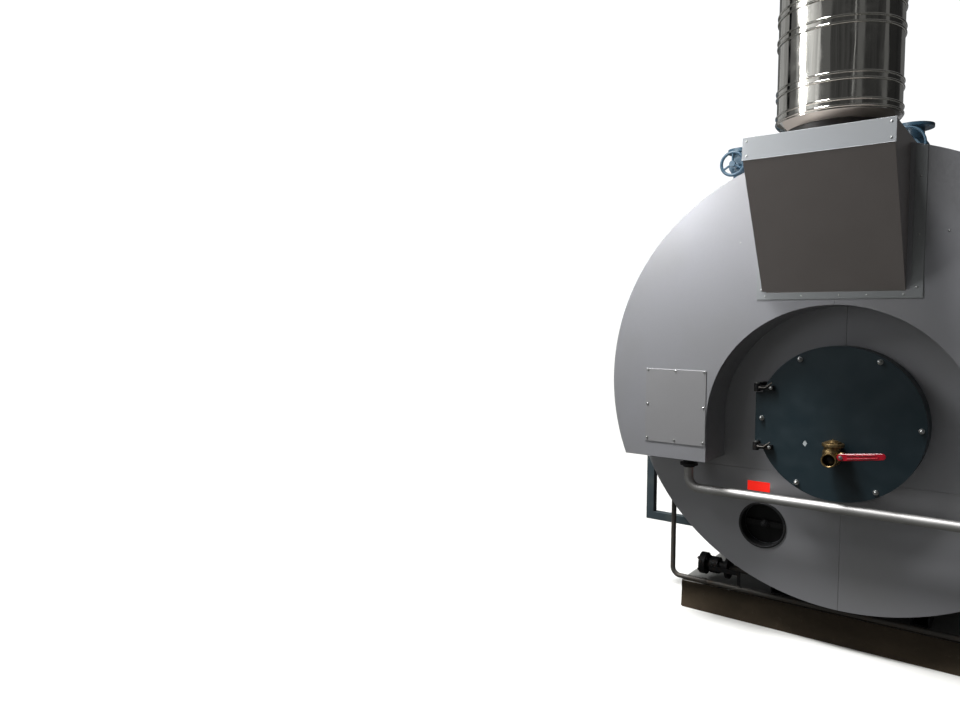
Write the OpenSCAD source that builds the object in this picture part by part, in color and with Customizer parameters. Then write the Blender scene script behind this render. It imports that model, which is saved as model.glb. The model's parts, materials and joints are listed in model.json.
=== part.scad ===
// Three-pass fire-tube steam boiler, standing on its concrete plinth.
// X runs to the right of the flue-outlet end, Y along the drum away from it, Z up from the floor.
// The flue-outlet end faces -Y: a horseshoe flue-gas collector round a hinged furnace door.

/* [Boiler body] */
// Length over both end faces
body_len = 4400; // [4000:50:4800]
// Outer radius of the pressure drum
drum_r = 1000; // [960:5:1040]
// Insulation and sheet over the pressure drum
insulation_t = 100; // [80:5:120]
// Wall of the pressure drum
drum_wall = 14; // [10:1:20]
// Thickness of the flat tube sheets that close the drum
tube_sheet_t = 25; // [18:1:32]
// Space between the plinth and the cladding
under_gap = 65; // [50:5:100]
// Height of the swages round the cladding joints
swage_h = 4; // [2:1:6]
// Number of cladding courses
courses = 4; // [3:1:6]

/* [Plinth and base] */
// Width of the plinth
plinth_w = 1700; // [1500:20:1900]
// Distance from the collector face back to the plinth
plinth_set_back = 374; // [340:2:420]
// Height of the plinth
plinth_h = 165; // [120:5:220]
// Chamfer round the top of the plinth
plinth_chamfer = 12; // [6:1:20]
// Distance between the two base rails
rail_spacing = 660; // [560:20:760]
// Width of a base rail
rail_w = 80; // [60:5:100]
// Height of a base rail
rail_h = 80; // [65:1:90]
// Wall of a base rail
rail_t = 8; // [6:1:10]
// Thickness of a saddle plate
saddle_t = 20; // [15:1:30]

/* [Flue-gas collector] */
// Depth of the collector in front of the end wall
collector_depth = 265; // [230:5:300]
// Insulated jacket round the collector
jacket_t = 80; // [60:5:90]
// Insulated front sheet of the collector
front_t = 60; // [50:5:70]
// Steel of the collector box
box_t = 8; // [6:1:10]
// Radius of the arch in the collector
arch_r = 580; // [560:5:600]
// Centre of the arch below the drum axis
arch_drop = 201; // [190:1:210]
// Bottom of the two legs below the drum axis
leg_drop = 412; // [400:1:430]
// Width of a cleaning cover on a leg
cover_w = 325; // [280:1:340]
// Height of a cleaning cover
cover_h = 383; // [320:1:400]
// Gap from the arch wall to a cleaning cover
cover_in = 3; // [3:1:20]
// Top of a cleaning cover above the drum axis
cover_rise = 51; // [40:1:60]
// Thickness of the cleaning covers and flanges
cover_t = 4; // [3:0.5:6]

/* [End wall panels] */
// Thickness of the insulated end panels
end_wall = 60; // [50:5:70]
// Step of the lower end panels outside the cladding
panel_step = 12; // [5:1:25]
// Level seam below the drum axis
seam_drop = 465; // [450:1:480]
// Gap left at each seam
seam_gap = 1; // [0.6:0.1:2]

/* [Flue hood] */
// Width of the hood
hood_w = 600; // [580:10:640]
// Foot of the hood above the drum axis
hood_foot = 437; // [420:1:450]
// Height of the hood's upright face
fascia_h = 112; // [100:1:125]
// Reach of the hood in front of the collector
hood_reach = 370; // [350:5:400]
// Height of the flange below the foot
hood_lip = 32; // [24:1:40]
// Width of the flanges beside the hood
hood_side = 45; // [30:1:60]
// Insulated wall of the hood
hood_wall = 40; // [30:1:50]
// Thickness of the roof sheet
roof_t = 6; // [4:1:8]
// Length of the roof behind the collector face
roof_back = 215; // [200:5:230]

/* [Flue] */
// Outer radius of the inner liner
liner_r = 204; // [180:2:210]
// Wall of the liner
liner_t = 4; // [2:1:6]
// Ledge in the hood's roof that the liner stands on
liner_ledge = 4; // [2:1:8]
// Length of the liner above the jacket
liner_over = 12; // [6:1:20]
// Outer radius of the polished jacket
flue_r = 250; // [240:2:260]
// Distance of the flue axis in front of the collector face
flue_out = 50; // [40:5:60]
// Height of the liner that shows above the hood
liner_show = 40; // [30:2:60]
// Height of the cone under the jacket
cone_h = 34; // [24:2:44]
// Length of the jacket
flue_len = 566; // [520:2:640]
// Height of a locking band
band_h = 36; // [28:2:44]
// Height of the lowest band above the jacket's foot
band_first = 18; // [18:1:24]
// Distance between the two bands of a joint
band_pair = 109; // [90:1:120]
// Distance from one joint to the next
band_joint = 334; // [300:2:340]

/* [Furnace door] */
// Radius of the door
door_r = 368; // [360:2:376]
// Centre of the door below the drum axis
door_drop = 178; // [170:1:186]
// Thickness of the door plate
door_t = 30; // [24:1:36]
// Distance of the door face in front of the end wall
door_out = 139; // [130:1:150]
// Bore of the furnace opening behind the door
throat_r = 300; // [280:2:310]
// Depth of the refractory plug on the door
plug_len = 100; // [80:2:110]
// Play round the refractory plug
plug_play = 16; // [14:1:24]
// Taper of the plug over its depth
plug_taper = 16; // [12:1:24]
// Reach of the door's hinge tab from the door centre
tab_reach = 376; // [374:1:384]
// Depth cut from the back of the tab outside the hinge line, so that it swings clear of the collar
tab_relief = 8; // [6:1:12]
// Upper edge of the tab above the door centre
tab_up = 128; // [110:2:140]
// Lower edge of the tab below the door centre
tab_down = 113; // [100:1:130]
// Distance of the hinge axis from the door centre
hinge_x = 365; // [362:1:368]
// Distance of the hinge axis in front of the door face
hinge_y = 18; // [14:1:24]
// Radius of the hinge pins
pin_r = 7; // [6:1:8]
// Height of a hinge eye
eye_h = 22; // [18:1:28]
// Wall of a hinge eye round its pin
eye_wall = 8; // [6:1:9]
// Length of a hinge arm from its pin
arm_len = 77; // [70:1:90]
// Thickness of a fork plate
fork_t = 8; // [6:1:10]
// Width of a fork plate's arm
fork_w = 24; // [20:1:26]
// Gap between the tab and a fork
fork_gap = 6.7; // [6:0.1:9]
// Running play at pins and faces
play = 0.4; // [0.3:0.1:0.6]

/* [Door valve] */
// Height of the valve port below the door centre
port_drop = 159; // [150:1:170]
// Side offset of the valve port
port_x = -10; // [-20:1:0]
// Outer radius of the port ring
port_ring_r = 34; // [30:1:36]
// Bore of the port
port_r = 27; // [22:1:28]
// Reach of the port in front of the door face
port_reach = 100; // [90:2:110]
// Side offset of the lever's stem from the port
stem_x = 53; // [48:1:58]
// Height of the stem above the port
stem_z = 22; // [18:1:26]
// Length of the lever from its stem
lever_len = 184; // [160:2:200]
// Width of the lever
lever_w = 27; // [22:1:30]
// Thickness of the lever
lever_t = 5; // [3:1:6]
// Upward set of the lever in degrees
lever_rise = 5; // [0:1:8]

/* [Pipes and fittings at the outlet end] */
// Radius of the pipe that joins the two legs
pipe_r = 24; // [20:1:26]
// Wall of that pipe
pipe_t = 2; // [2:0.5:4]
// Centre of that pipe below the drum axis
pipe_drop = 577; // [577:1:600]
// Distance of the pipe behind the collector face
pipe_in = 125; // [110:1:140]
// Side distance of the pipe's upright ends
pipe_x = 715; // [700:1:760]
// Bend radius of the pipe
pipe_bend = 60; // [50:1:80]
// Length of the flanged stub on that pipe's ends
stub_h = 56; // [50:1:64]
// Radius of the stub's flange
stub_flange_r = 46; // [40:1:52]
// Thickness of the stub's flange
stub_flange_t = 12; // [8:1:16]
// Level of the stub's flange below the leg
stub_flange_drop = 34; // [26:1:36]
// Outer radius of the inspection port
sight_r = 119; // [110:1:125]
// Rim of the tube sheet left outside the inspection port
sight_margin = 42; // [36:1:50]
// Direction of the inspection port below the level through the drum axis, in degrees
sight_angle = 63.8; // [62:0.2:66]
// Wall of the inspection port's sleeve
sleeve_t = 4; // [3:1:6]
// Lip of the inspection port round its sleeve
sleeve_lip = 8; // [6:1:12]
// Radius of the thin drain pipe
drain_r = 13.5; // [10:0.5:17]
// Side distance of the thin drain pipe
drain_x = 888; // [880:1:900]
// Height of the drain pipe's run above the plinth
drain_rise = 19; // [16:1:30]
// Distance of the drain pipe's run in front of the plinth
drain_out = 24; // [18:1:26]
// Bend radius of the drain pipe
drain_bend = 45; // [35:1:55]
// Side distance of the drain pipe's clips
drain_clip_x = 704; // [600:2:780]
// Height of the blow-down valve's axis above the floor
blow_z = 272; // [262:1:280]
// Side distance of the blow-down valve's outer flange
blow_x = 737; // [720:1:760]
// Radius of the blow-down flanges
blow_flange_r = 60; // [56:1:65]
// Radius of the blow-down pipe
blow_r = 17; // [14:1:18]
// Radius of the bolt circle of the blow-down flanges
blow_pcd_r = 45; // [42:0.5:48]
// Face-to-face length of the blow-down valve
blow_len = 160; // [150:2:180]
// Thickness of a blow-down flange
blow_flange_t = 16; // [12:1:18]
// Radius of a bolt hole in the blow-down flanges
blow_hole_r = 7; // [5:1:8]
// Radius of the blow-down valve's body
blow_body_r = 46; // [42:1:50]
// Length of the blow-down lever
blow_lever_len = 170; // [120:5:180]
// Drop of the lever's bent end below the valve's axis
blow_lever_drop = 66; // [40:1:68]

/* [Side frame] */
// Reach of the frame beyond the side of the cladding
frame_out = 64; // [50:1:80]
// Width of the frame's square tube
frame_tube = 46; // [40:1:50]
// Wall of the frame's square tube
frame_wall = 4; // [3:1:5]
// Underside of the frame above the floor
frame_low = 415; // [400:5:440]
// Upper side of the frame above the floor
frame_top = 1250; // [1180:5:1300]
// Distance of the frame behind the collector face
frame_in = 577; // [560:1:640]

/* [Crown] */
// Position of the steam outlet along the drum
steam_y = -200; // [-300:10:200]
// Radius of the steam nozzle
steam_r = 70; // [60:1:80]
// Wall of the crown nozzles
nozzle_t = 8; // [6:1:10]
// Height of the steam nozzle above the cladding
steam_rise = 140; // [110:5:180]
// Radius of the steam flanges
steam_flange_r = 125; // [120:1:140]
// Radius of the bolt circle of the steam flanges
steam_pcd_r = 105; // [100:1:108]
// Radius of the flange bolt holes
bolt_hole_r = 9; // [7:1:10]
// Face-to-face length of the steam valve
steam_valve_len = 350; // [300:10:400]
// Face-to-face length of the shoulder valve
shoulder_valve_len = 200; // [180:10:240]
// Side distance of the shoulder nozzle
shoulder_x = 600; // [560:5:620]
// Distance of the shoulder nozzle behind the collector face
shoulder_in = 500; // [460:5:560]
// Radius of the shoulder nozzle
shoulder_r = 45; // [38:1:50]
// Radius of the shoulder flanges
shoulder_flange_r = 75; // [70:1:85]
// Level of the shoulder flange below the top of the cladding
shoulder_drop = 60; // [40:5:80]
// Thickness of the flanges on the crown
flange_t = 20; // [16:1:24]
// Position of the crown manhole along the drum
manhole_y = 900; // [700:10:1100]
// Radius of the crown manhole
manhole_r = 230; // [210:2:240]
// Wall of the manhole's neck
manhole_t = 12; // [8:1:16]
// Height of the manhole's joint above the cladding
manhole_rise = 40; // [35:1:60]
// Width of the manhole's flange outside its neck
manhole_flange = 50; // [40:1:60]
// Thickness of the manhole's flange, and of its cover
manhole_cover_t = 24; // [20:1:30]
// Distance of the flue-end lifting lug in front of the steam nozzle
lug_from_steam = 900; // [800:20:1000]
// Distance of the burner-end lifting lug behind the manhole
lug_from_manhole = 600; // [500:20:700]
// Radius of the rounded head of a lifting lug
lug_r = 60; // [50:1:70]
// Thickness of a lifting lug
lug_plate_t = 25; // [20:1:30]
// Radius of a lifting lug's eye
lug_eye_r = 26; // [20:1:30]
// Height of a lifting lug's eye above the cladding
lug_eye_rise = 30; // [30:1:50]

/* [Burner end] */
// Depth of the turning box at the burner end
turning_depth = 200; // [160:5:230]
// Bore of the burner opening
burner_r = 230; // [200:2:240]
// Radius of the burner plate
burner_plate_r = 420; // [400:2:430]
// Radius of the circle of burner studs
burner_pcd_r = 330; // [310:2:350]
// Radius of a burner stud hole
burner_hole_r = 9; // [7:1:11]
// Thickness of the burner plate
burner_plate_t = 25; // [20:1:30]
// Inner radius of the furnace tube between its corrugations
furnace_r = 400; // [380:2:420]
// Depth of the furnace corrugations
wave_h = 40; // [30:2:50]
// Number of furnace corrugations
waves = 14; // [10:1:16]
// Wall of the furnace tube
furnace_t = 14; // [10:1:16]
// Outer radius of the reversing chamber
chamber_r = 520; // [500:5:540]
// Length of the reversing chamber
chamber_len = 520; // [480:10:600]
// Water space between the tube sheet and the reversing chamber
chamber_gap = 260; // [220:10:300]
// Wall of the reversing chamber
chamber_t = 18; // [12:1:22]

/* [Hidden] */
$fn = 192;
// Gap between two pieces that lie against each other
seat = 0.3;
// How far a cut runs past the face that it opens
over = 1;
clad_r = drum_r + insulation_t;
panel_r = clad_r + panel_step;
axis_z = plinth_h + under_gap + clad_r;
y_face = -body_len / 2;
y_recess = y_face + collector_depth;
y_sheet = y_recess + end_wall;
y_far = body_len / 2;
y_far_recess = y_far - turning_depth;
y_far_sheet = y_far_recess - end_wall;
y_plinth = y_face + plinth_set_back;
arch_z = axis_z - arch_drop;
leg_z = axis_z - leg_drop;
seam_z = axis_z - seam_drop;
door_z = axis_z - door_drop;
door_face = y_recess - door_out;
door_back = door_face + door_t;
collar_r = door_r - 2;
hinge_axis_y = door_face - hinge_y;
tab_top = door_z + tab_up;
tab_low = door_z - tab_down;
eye_r = pin_r + eye_wall;
fork_h = eye_h + 2 * seat + 2 * fork_t;
post_gap = 14;
eye_centres = [tab_top + fork_gap + fork_h / 2, tab_low - fork_gap - fork_h / 2];
post_y = door_back + post_gap;
flue_y = y_face - flue_out;
flue_bore = liner_r - liner_t;
roof_z = axis_z + clad_r + over;
crown_lap = 20;
crown_z = axis_z + sqrt(pow(clad_r, 2) - pow(hood_w / 2, 2)) - crown_lap;
foot_z = axis_z + hood_foot;
knee_z = roof_z + roof_t - fascia_h;
// Rise of the hood's sloped face for each millimetre of reach
hood_slope = (knee_z - foot_z) / hood_reach;
// Height that the hood's wall takes up at the sloped face
hood_lift = hood_wall * sqrt(1 + pow(hood_slope, 2));
flue_foot = roof_z + roof_t + liner_show + cone_h;
flue_top = flue_foot + flue_len;
band_levels = [band_first, band_first + band_pair, band_first + band_joint,
    band_first + band_joint + band_pair];
band_t = 6;
mouth_drop = 60;
port_z = door_z - port_drop;
port_face = door_face - port_reach;
port_wall = 4;
valve_y = door_face - port_reach / 2;
// The valve's cap above its port: a flange, a hexagon and a round top
cap_rise = 62;
cap_t = 14;
cap_hex_t = 7;
cap_z = port_z + cap_rise;
cap_hex_z = cap_z + cap_t;
cap_top_z = cap_hex_z + cap_hex_t;
cap_r = 49;
cap_hex_r = 36;
cap_top_r = 21;
barrel_r = 32;
neck_r = 22;
boss_block = 24;
spindle_r = 6;
spindle_boss_r = 14;
lever_out = 10;
lever_y = port_face - lever_out;
stem_pos = [port_x + stem_x, port_z + stem_z];
rib_h = 2;
rib_w = 3;
rib_from = 26;
nut_r = 11;
nut_h = 6;
pipe_z = axis_z - pipe_drop;
pipe_y = y_face + pipe_in;
stub_t = 6;
sight_out = drum_r - sight_r - sight_margin;
sight_x = sight_out * cos(sight_angle);
sight_z = axis_z - sight_out * sin(sight_angle);
sight_proud = 6;
handhole_lip = 2;
handhole_r = sight_r - sleeve_lip - sleeve_t - handhole_lip;
handhole_stud_r = 12;
bridge_t = 12;
bridge_w = 28;
bridge_out = 22;
bridge_y = y_sheet - bridge_out;
clad_from = y_sheet + seat;
clad_top = axis_z + clad_r + swage_h + 2 * over;
clad_to = y_far_sheet - seat;
frame_x = clad_r + frame_out;
// Half the width of a swage at its foot and at its crest
swage_foot = 14;
swage_crest = 4;
drum_from = y_sheet + tube_sheet_t;
drum_to = y_far_sheet - tube_sheet_t;
rails_z = plinth_h + seat;
rail_in = 120;
rail_from = y_sheet + rail_in;
rail_to = y_far_sheet - rail_in;
saddle_in = 180;
saddle_ys = [rail_from + saddle_in, (rail_from + rail_to) / 2, rail_to - saddle_in];
saddle_lap = 40;
saddle_half = rail_spacing / 2 + rail_w / 2 + saddle_lap;
chamber_from = drum_from + chamber_gap;
chamber_to = chamber_from + chamber_len;
blow_in = 400;
blow_y = y_face + blow_in;
blow_elbow_x = 450;
blow_bend = 38;
blow_lever_w = 24;
blow_lever_t = 6;
blow_lever_end = 16;
blow_stem_out = 24;
blow_stem_r = 12;
gasket_t = 1;
drain_y = y_plinth - drain_out;
drain_z = plinth_h + drain_rise;
clip_t = 4;
clip_w = 24;
clip_reach = 40;
shoulder_y = y_face + shoulder_in;
shoulder_top = axis_z + clad_r - shoulder_drop;
steam_flange_z = axis_z + clad_r + steam_rise;
manhole_z = axis_z + clad_r + manhole_rise;
eye_z = axis_z + clad_r + lug_eye_rise;
// Sizes of a stop valve as shares of its length: globe, bonnet, stem and handwheel
globe_share = 0.31;
bonnet_share = 0.42;
stem_share = 0.8;
wheel_share = 0.34;
// Radius of a handwheel's rim wire
wheel_wire = 8;

// Solid or bore along Y between two stations
module along_y(r, y0, y1, x = 0, z = 0) {
    translate([x, y0, z]) rotate([-90, 0, 0]) cylinder(r = r, h = y1 - y0);
}

// Solid or bore along X between two stations
module along_x(r, x0, x1, y = 0, z = 0) {
    translate([x0, y, z]) rotate([0, 90, 0]) cylinder(r = r, h = x1 - x0);
}

// Upright cylinder between two levels
module upright(r, z0, z1, x = 0, y = 0) {
    translate([x, y, z0]) cylinder(r = r, h = z1 - z0);
}

// A flat shape drawn in X and Z, given thickness from y0 to y1
module slab(y0, y1) {
    translate([0, y1, 0]) rotate([90, 0, 0]) linear_extrude(y1 - y0) children();
}

// Keeps the left half (side -1) or the right half (side 1) of a flat shape
module half(side) {
    reach = 2 * clad_r;
    intersection() {
        children();
        translate([side < 0 ? -reach - seam_gap / 2 : seam_gap / 2, 0]) square([reach, 3 * reach]);
    }
}

// The outline inside the collector's arch, down to a level
module arch_shape(r, bottom) {
    translate([0, arch_z]) circle(r = r);
    translate([-r, bottom]) square([2 * r, arch_z - bottom]);
}

// The horseshoe of the collector, drawn in by a distance on every side
module horseshoe(inset = 0) {
    bottom = leg_z + inset;
    difference() {
        intersection() {
            translate([0, axis_z]) circle(r = clad_r - inset);
            translate([-clad_r, bottom]) square([2 * clad_r, leg_drop + clad_r]);
        }
        arch_shape(arch_r + inset, bottom - over);
    }
}

// The part of the end wall that shows inside the arch and below the legs
module end_wall_shape() {
    intersection() {
        translate([0, axis_z]) circle(r = panel_r);
        translate([-panel_r, axis_z - panel_r]) square([2 * panel_r, panel_r - leg_drop - seat]);
    }
    arch_shape(arch_r - seat, leg_z - 2 * seat);
}

module plinth() {
    color("darkolivegreen")
    hull() {
        plinth_block(plinth_w, 0, plinth_h - plinth_chamfer, 0);
        plinth_block(plinth_w, 0, plinth_h, plinth_chamfer);
    }
}

// One block of the plinth, drawn in at the sides by a distance
module plinth_block(width, z0, z1, inset) {
    translate([inset - width / 2, y_plinth + inset, z0])
        cube([width - 2 * inset, -2 * y_plinth - 2 * inset, z1 - z0]);
}

// Two channel rails with saddle plates that carry the drum
module base_frame() {
    color("dimgray") {
        for (side = [-1, 1]) translate([side * rail_spacing / 2, 0, 0]) rail();
        for (y = saddle_ys) saddle(y);
    }
}

module rail() {
    translate([-rail_w / 2, rail_from, rails_z])
        difference() {
            cube([rail_w, rail_to - rail_from, rail_h]);
            translate([rail_t, -over, rail_t])
                cube([rail_w - 2 * rail_t, rail_to - rail_from + 2 * over, rail_h - 2 * rail_t]);
        }
}

module saddle(y) {
    foot = rails_z + rail_h;
    difference() {
        translate([-saddle_half, y - saddle_t / 2, foot])
            cube([2 * saddle_half, saddle_t, axis_z - foot - drum_r / 2]);
        along_y(drum_r + seat, y - saddle_t, y + saddle_t, z = axis_z);
    }
}

module drum_shell() {
    color("slategray")
    difference() {
        along_y(drum_r, drum_from + seat, drum_to - seat, z = axis_z);
        along_y(drum_r - drum_wall, drum_from, drum_to, z = axis_z);
        upright(steam_r - nozzle_t, axis_z, axis_z + drum_r + over, y = steam_y);
        upright(manhole_r - manhole_t, axis_z, axis_z + drum_r + over, y = manhole_y);
        upright(shoulder_r - nozzle_t, axis_z, axis_z + drum_r + over, x = -shoulder_x, y = shoulder_y);
    }
}

module tube_sheets() {
    color("slategray") {
        difference() {
            along_y(drum_r, y_sheet, y_sheet + tube_sheet_t, z = axis_z);
            along_y(throat_r, y_sheet - over, y_sheet + tube_sheet_t + over, z = door_z);
            along_y(handhole_r, y_sheet - over, y_sheet + tube_sheet_t + over, x = -sight_x, z = sight_z);
        }
        difference() {
            along_y(drum_r, y_far_sheet - tube_sheet_t, y_far_sheet, z = axis_z);
            along_y(furnace_r, y_far_sheet - tube_sheet_t - over, y_far_sheet + over, z = door_z);
        }
    }
}

// Height of the furnace wall above its least radius at a share of its length
function wave(share) = wave_h * (1 - cos(360 * waves * share)) / 2;

// Corrugated furnace from the reversing chamber to the burner end
module furnace_tube() {
    length = y_far_sheet - tube_sheet_t - chamber_to - 2 * seat;
    steps = 12 * waves;
    inner = [for (i = [0:steps]) [furnace_r + wave(i / steps), length * i / steps]];
    outer = [for (i = [steps:-1:0]) [furnace_r + furnace_t + wave(i / steps), length * i / steps]];
    color("gray")
    translate([0, chamber_to + seat, door_z]) rotate([-90, 0, 0])
        rotate_extrude($fn = 48) polygon(concat(inner, outer));
}

// Water-cooled drum behind the door, with the access tube that leads into it
module reversing_chamber() {
    color("gray")
    difference() {
        union() {
            along_y(chamber_r, chamber_from, chamber_to, z = door_z);
            along_y(throat_r + furnace_t, drum_from + seat, chamber_from + over, z = door_z);
        }
        along_y(chamber_r - chamber_t, chamber_from + chamber_t, chamber_to - chamber_t, z = door_z);
        along_y(throat_r, drum_from, chamber_from + 2 * chamber_t, z = door_z);
        along_y(furnace_r, chamber_to - 2 * chamber_t, chamber_to + over, z = door_z);
    }
}

// Insulation and sheet round the drum, with a swage at each joint of the courses
module cladding() {
    course = (clad_to - clad_from) / courses;
    color("lightgray")
    difference() {
        union() {
            along_y(clad_r, clad_from, clad_to, z = axis_z);
            for (i = [1:courses - 1])
                translate([0, clad_from + i * course, axis_z]) rotate([-90, 0, 0])
                    rotate_extrude() translate([clad_r - over, 0]) swage();
        }
        along_y(drum_r + seat, clad_from - over, clad_to + over, z = axis_z);
        for (y = saddle_ys)
            translate([-saddle_half - seat, y - saddle_t / 2 - seat, 0])
                cube([2 * (saddle_half + seat), saddle_t + 2 * seat, axis_z]);
        upright(steam_r + seat, axis_z, clad_top, y = steam_y);
        upright(manhole_r + seat, axis_z, clad_top, y = manhole_y);
        upright(shoulder_r + seat, axis_z, clad_top, x = -shoulder_x, y = shoulder_y);
        for (y = lug_ys()) lug_plate(y, seat);
    }
}

// Outline of one swage, lying on the cladding
module swage() {
    crest = swage_h + over;
    polygon([[0, -swage_foot], [crest, -swage_crest], [crest, swage_crest], [0, swage_foot]]);
}

// Stations of the two lifting lugs
function lug_ys() = [steam_y - lug_from_steam, manhole_y + lug_from_manhole];

// Outline of a lifting lug seen along X, with a margin round it, as a block of a thickness
module lug_plate(y, margin) {
    wide = 2 * (lug_r + margin);
    thick = lug_plate_t + 2 * margin;
    translate([-thick / 2, y - wide / 2, axis_z + drum_r / 2])
        cube([thick, wide, clad_r - drum_r / 2 + lug_eye_rise]);
    along_x(lug_r + margin, -thick / 2, thick / 2, y, eye_z);
}

// One quarter of the end wall: side -1 or 1, above or below the level seam
module end_panel(side, upper) {
    color("silver")
    difference() {
        slab(y_recess, y_sheet - seat)
            intersection() {
                half(side) end_wall_shape();
                translate([-panel_r, upper ? seam_z + seam_gap / 2 : 0])
                    square([2 * panel_r, upper ? 2 * panel_r : seam_z - seam_gap / 2]);
            }
        along_y(collar_r + seat, y_recess - over, y_sheet + over, z = door_z);
        along_y(sight_r - sleeve_lip + seat, y_recess - over, y_sheet + over, x = -sight_x, z = sight_z);
        hinge_post_holes();
    }
}

module end_panel_upper_left() {
    end_panel(-1, true);
}

module end_panel_upper_right() {
    end_panel(1, true);
}

module end_panel_lower_left() {
    end_panel(-1, false);
}

module end_panel_lower_right() {
    end_panel(1, false);
}

// Round passage up into the flue from a level, leaving a ledge under the liner
module flue_passage(from) {
    upright(flue_bore - liner_ledge, from, flue_foot, y = flue_y);
}

// The same passage where it passes the collector's round top
module collector_passage() {
    flue_passage(axis_z + clad_r - jacket_t - box_t - flue_bore);
}

// Opening from the collector forward into the hood
module hood_mouth() {
    half_w = hood_w / 2 - hood_wall;
    low = foot_z + hood_lift;
    translate([-half_w, y_face - over, low])
        cube([2 * half_w, front_t + box_t + 2 * over, knee_z - mouth_drop - low]);
}

// Steel box that gathers the flue gas behind the jacket
module collector_box() {
    front = y_face + front_t + seat;
    color("dimgray")
    difference() {
        slab(front, y_sheet - seat) horseshoe(jacket_t + seat);
        slab(front + box_t, y_sheet) horseshoe(jacket_t + seat + box_t);
        hood_mouth();
        collector_passage();
    }
}

module collector_jacket(side) {
    color("silver")
    difference() {
        slab(y_face + front_t + seat, y_sheet - seat)
            half(side) difference() {
                horseshoe();
                horseshoe(jacket_t);
            }
        collector_passage();
    }
}

module collector_jacket_left() {
    collector_jacket(-1);
}

module collector_jacket_right() {
    collector_jacket(1);
}

module collector_front(side) {
    color("lightgray")
    difference() {
        slab(y_face, y_face + front_t) half(side) horseshoe();
        hood_mouth();
        collector_passage();
    }
}

module collector_front_left() {
    collector_front(-1);
}

module collector_front_right() {
    collector_front(1);
}

// Screwed covers over the cleaning openings of both legs
module cleaning_covers() {
    color("silver")
    for (side = [-1, 1])
        translate([side * (arch_r + cover_in + cover_w / 2), 0, axis_z + cover_rise - cover_h / 2])
            slab(y_face - cover_t, y_face) square([cover_w, cover_h], center = true);
}

// Side outline of the hood as points of Y and Z, from its front face back to a station
function hood_outline(back) = [
    [back, foot_z], [y_face - seat, foot_z], [y_face - hood_reach, knee_z],
    [y_face - hood_reach, roof_z + roof_t], [back, roof_z + roof_t]];

// Side outline of the space inside the hood, whose walls run parallel to the outer ones
function hood_inside(back) =
    let (front = y_face - hood_reach + hood_wall, knee = knee_z + hood_lift - hood_slope * hood_wall)
    [[back, foot_z + hood_lift], [y_face - seat, foot_z + hood_lift], [front, knee],
        [front, roof_z], [back, roof_z]];

// A side outline given width across the boiler
module across(width) {
    translate([-width / 2, 0, 0]) rotate([90, 0, 90]) linear_extrude(width) children();
}

// What fills the space between the round cladding and the flat roof, drawn in X and Z
module crown_filler() {
    difference() {
        translate([-hood_w / 2, crown_z]) square([hood_w, roof_z + roof_t - crown_z]);
        translate([0, axis_z]) circle(r = clad_r + seat);
    }
}

// Sloped duct that carries the gas forward and up into the flue
module hood_body() {
    color("gray")
    difference() {
        union() {
            across(hood_w) polygon(hood_outline(y_face - seat));
            slab(y_face - hood_wall, y_face + roof_back) crown_filler();
        }
        across(hood_w - 2 * hood_wall) polygon(hood_inside(y_face + hood_wall));
        flue_passage(crown_z - over);
    }
}

module hood_fascia() {
    color("gainsboro")
    translate([-hood_w / 2 - cover_t, y_face - hood_reach - cover_t, knee_z])
        cube([hood_w + 2 * cover_t, cover_t, fascia_h]);
}

// Flanges by which the hood is fastened to the collector's front sheets
module hood_flange() {
    half_w = hood_w / 2;
    low = foot_z - hood_lip;
    rise = sqrt(pow(clad_r, 2) - pow(half_w + hood_side, 2)) - hood_foot + hood_lip;
    color("silver")
    slab(y_face - cover_t, y_face)
        difference() {
            translate([-half_w - hood_side, low]) square([2 * (half_w + hood_side), rise]);
            translate([-half_w - seat, low + hood_lip - seat]) square([hood_w + 2 * seat, rise]);
        }
}

// A tube standing on the flue axis
module flue_tube(outer, inner, z0, z1) {
    difference() {
        upright(outer, z0, z1, y = flue_y);
        upright(inner, z0 - over, z1 + over, y = flue_y);
    }
}

module flue_liner() {
    color("darkslategray") flue_tube(liner_r, flue_bore, roof_z + roof_t + seat, flue_top + liner_over);
}

// Polished cone that closes the foot of the jacket
module flue_cone() {
    foot = liner_r + seat;
    color("lightsteelblue")
    translate([0, flue_y, flue_foot - cone_h])
        rotate_extrude()
            polygon([[foot, 0], [foot + roof_t / 2, 0], [flue_r, cone_h - roof_t], [flue_r, cone_h - seat],
                [foot, cone_h - seat]]);
}

module flue_jacket() {
    color("lightsteelblue") flue_tube(flue_r, liner_r + seat, flue_foot, flue_top);
}

// Locking bands with a bead along each edge
module flue_bands() {
    color("lightsteelblue")
    for (level = band_levels)
        translate([0, flue_y, flue_foot + level - band_h / 2])
            rotate_extrude()
                polygon([[flue_r + seat, 0], [flue_r + band_t, 2], [flue_r + band_t, 8],
                    [flue_r + band_t / 2, 10], [flue_r + band_t / 2, band_h - 10],
                    [flue_r + band_t, band_h - 8], [flue_r + band_t, band_h - 2],
                    [flue_r + seat, band_h]]);
}

// Lined ring that the door closes on
module door_collar() {
    color("darkslategray")
    difference() {
        along_y(collar_r, door_back + seat, y_sheet - seat, z = door_z);
        along_y(throat_r, door_back, y_sheet, z = door_z);
    }
}

module door_plate() {
    color("darkslategray")
    difference() {
        union() {
            along_y(door_r, door_face, door_back, z = door_z);
            translate([-tab_reach, door_face, tab_low]) cube([tab_reach / 2, door_t, tab_top - tab_low]);
        }
        translate([-tab_reach - over, door_back - tab_relief, tab_low - over])
            cube([tab_reach + over - hinge_x, tab_relief + over, tab_top - tab_low + 2 * over]);
    }
}

module door_plug() {
    root_r = throat_r - plug_play;
    color("wheat")
    translate([0, door_back + seat, door_z]) rotate([-90, 0, 0])
        cylinder(r1 = root_r, r2 = root_r - plug_taper, h = plug_len);
}

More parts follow.
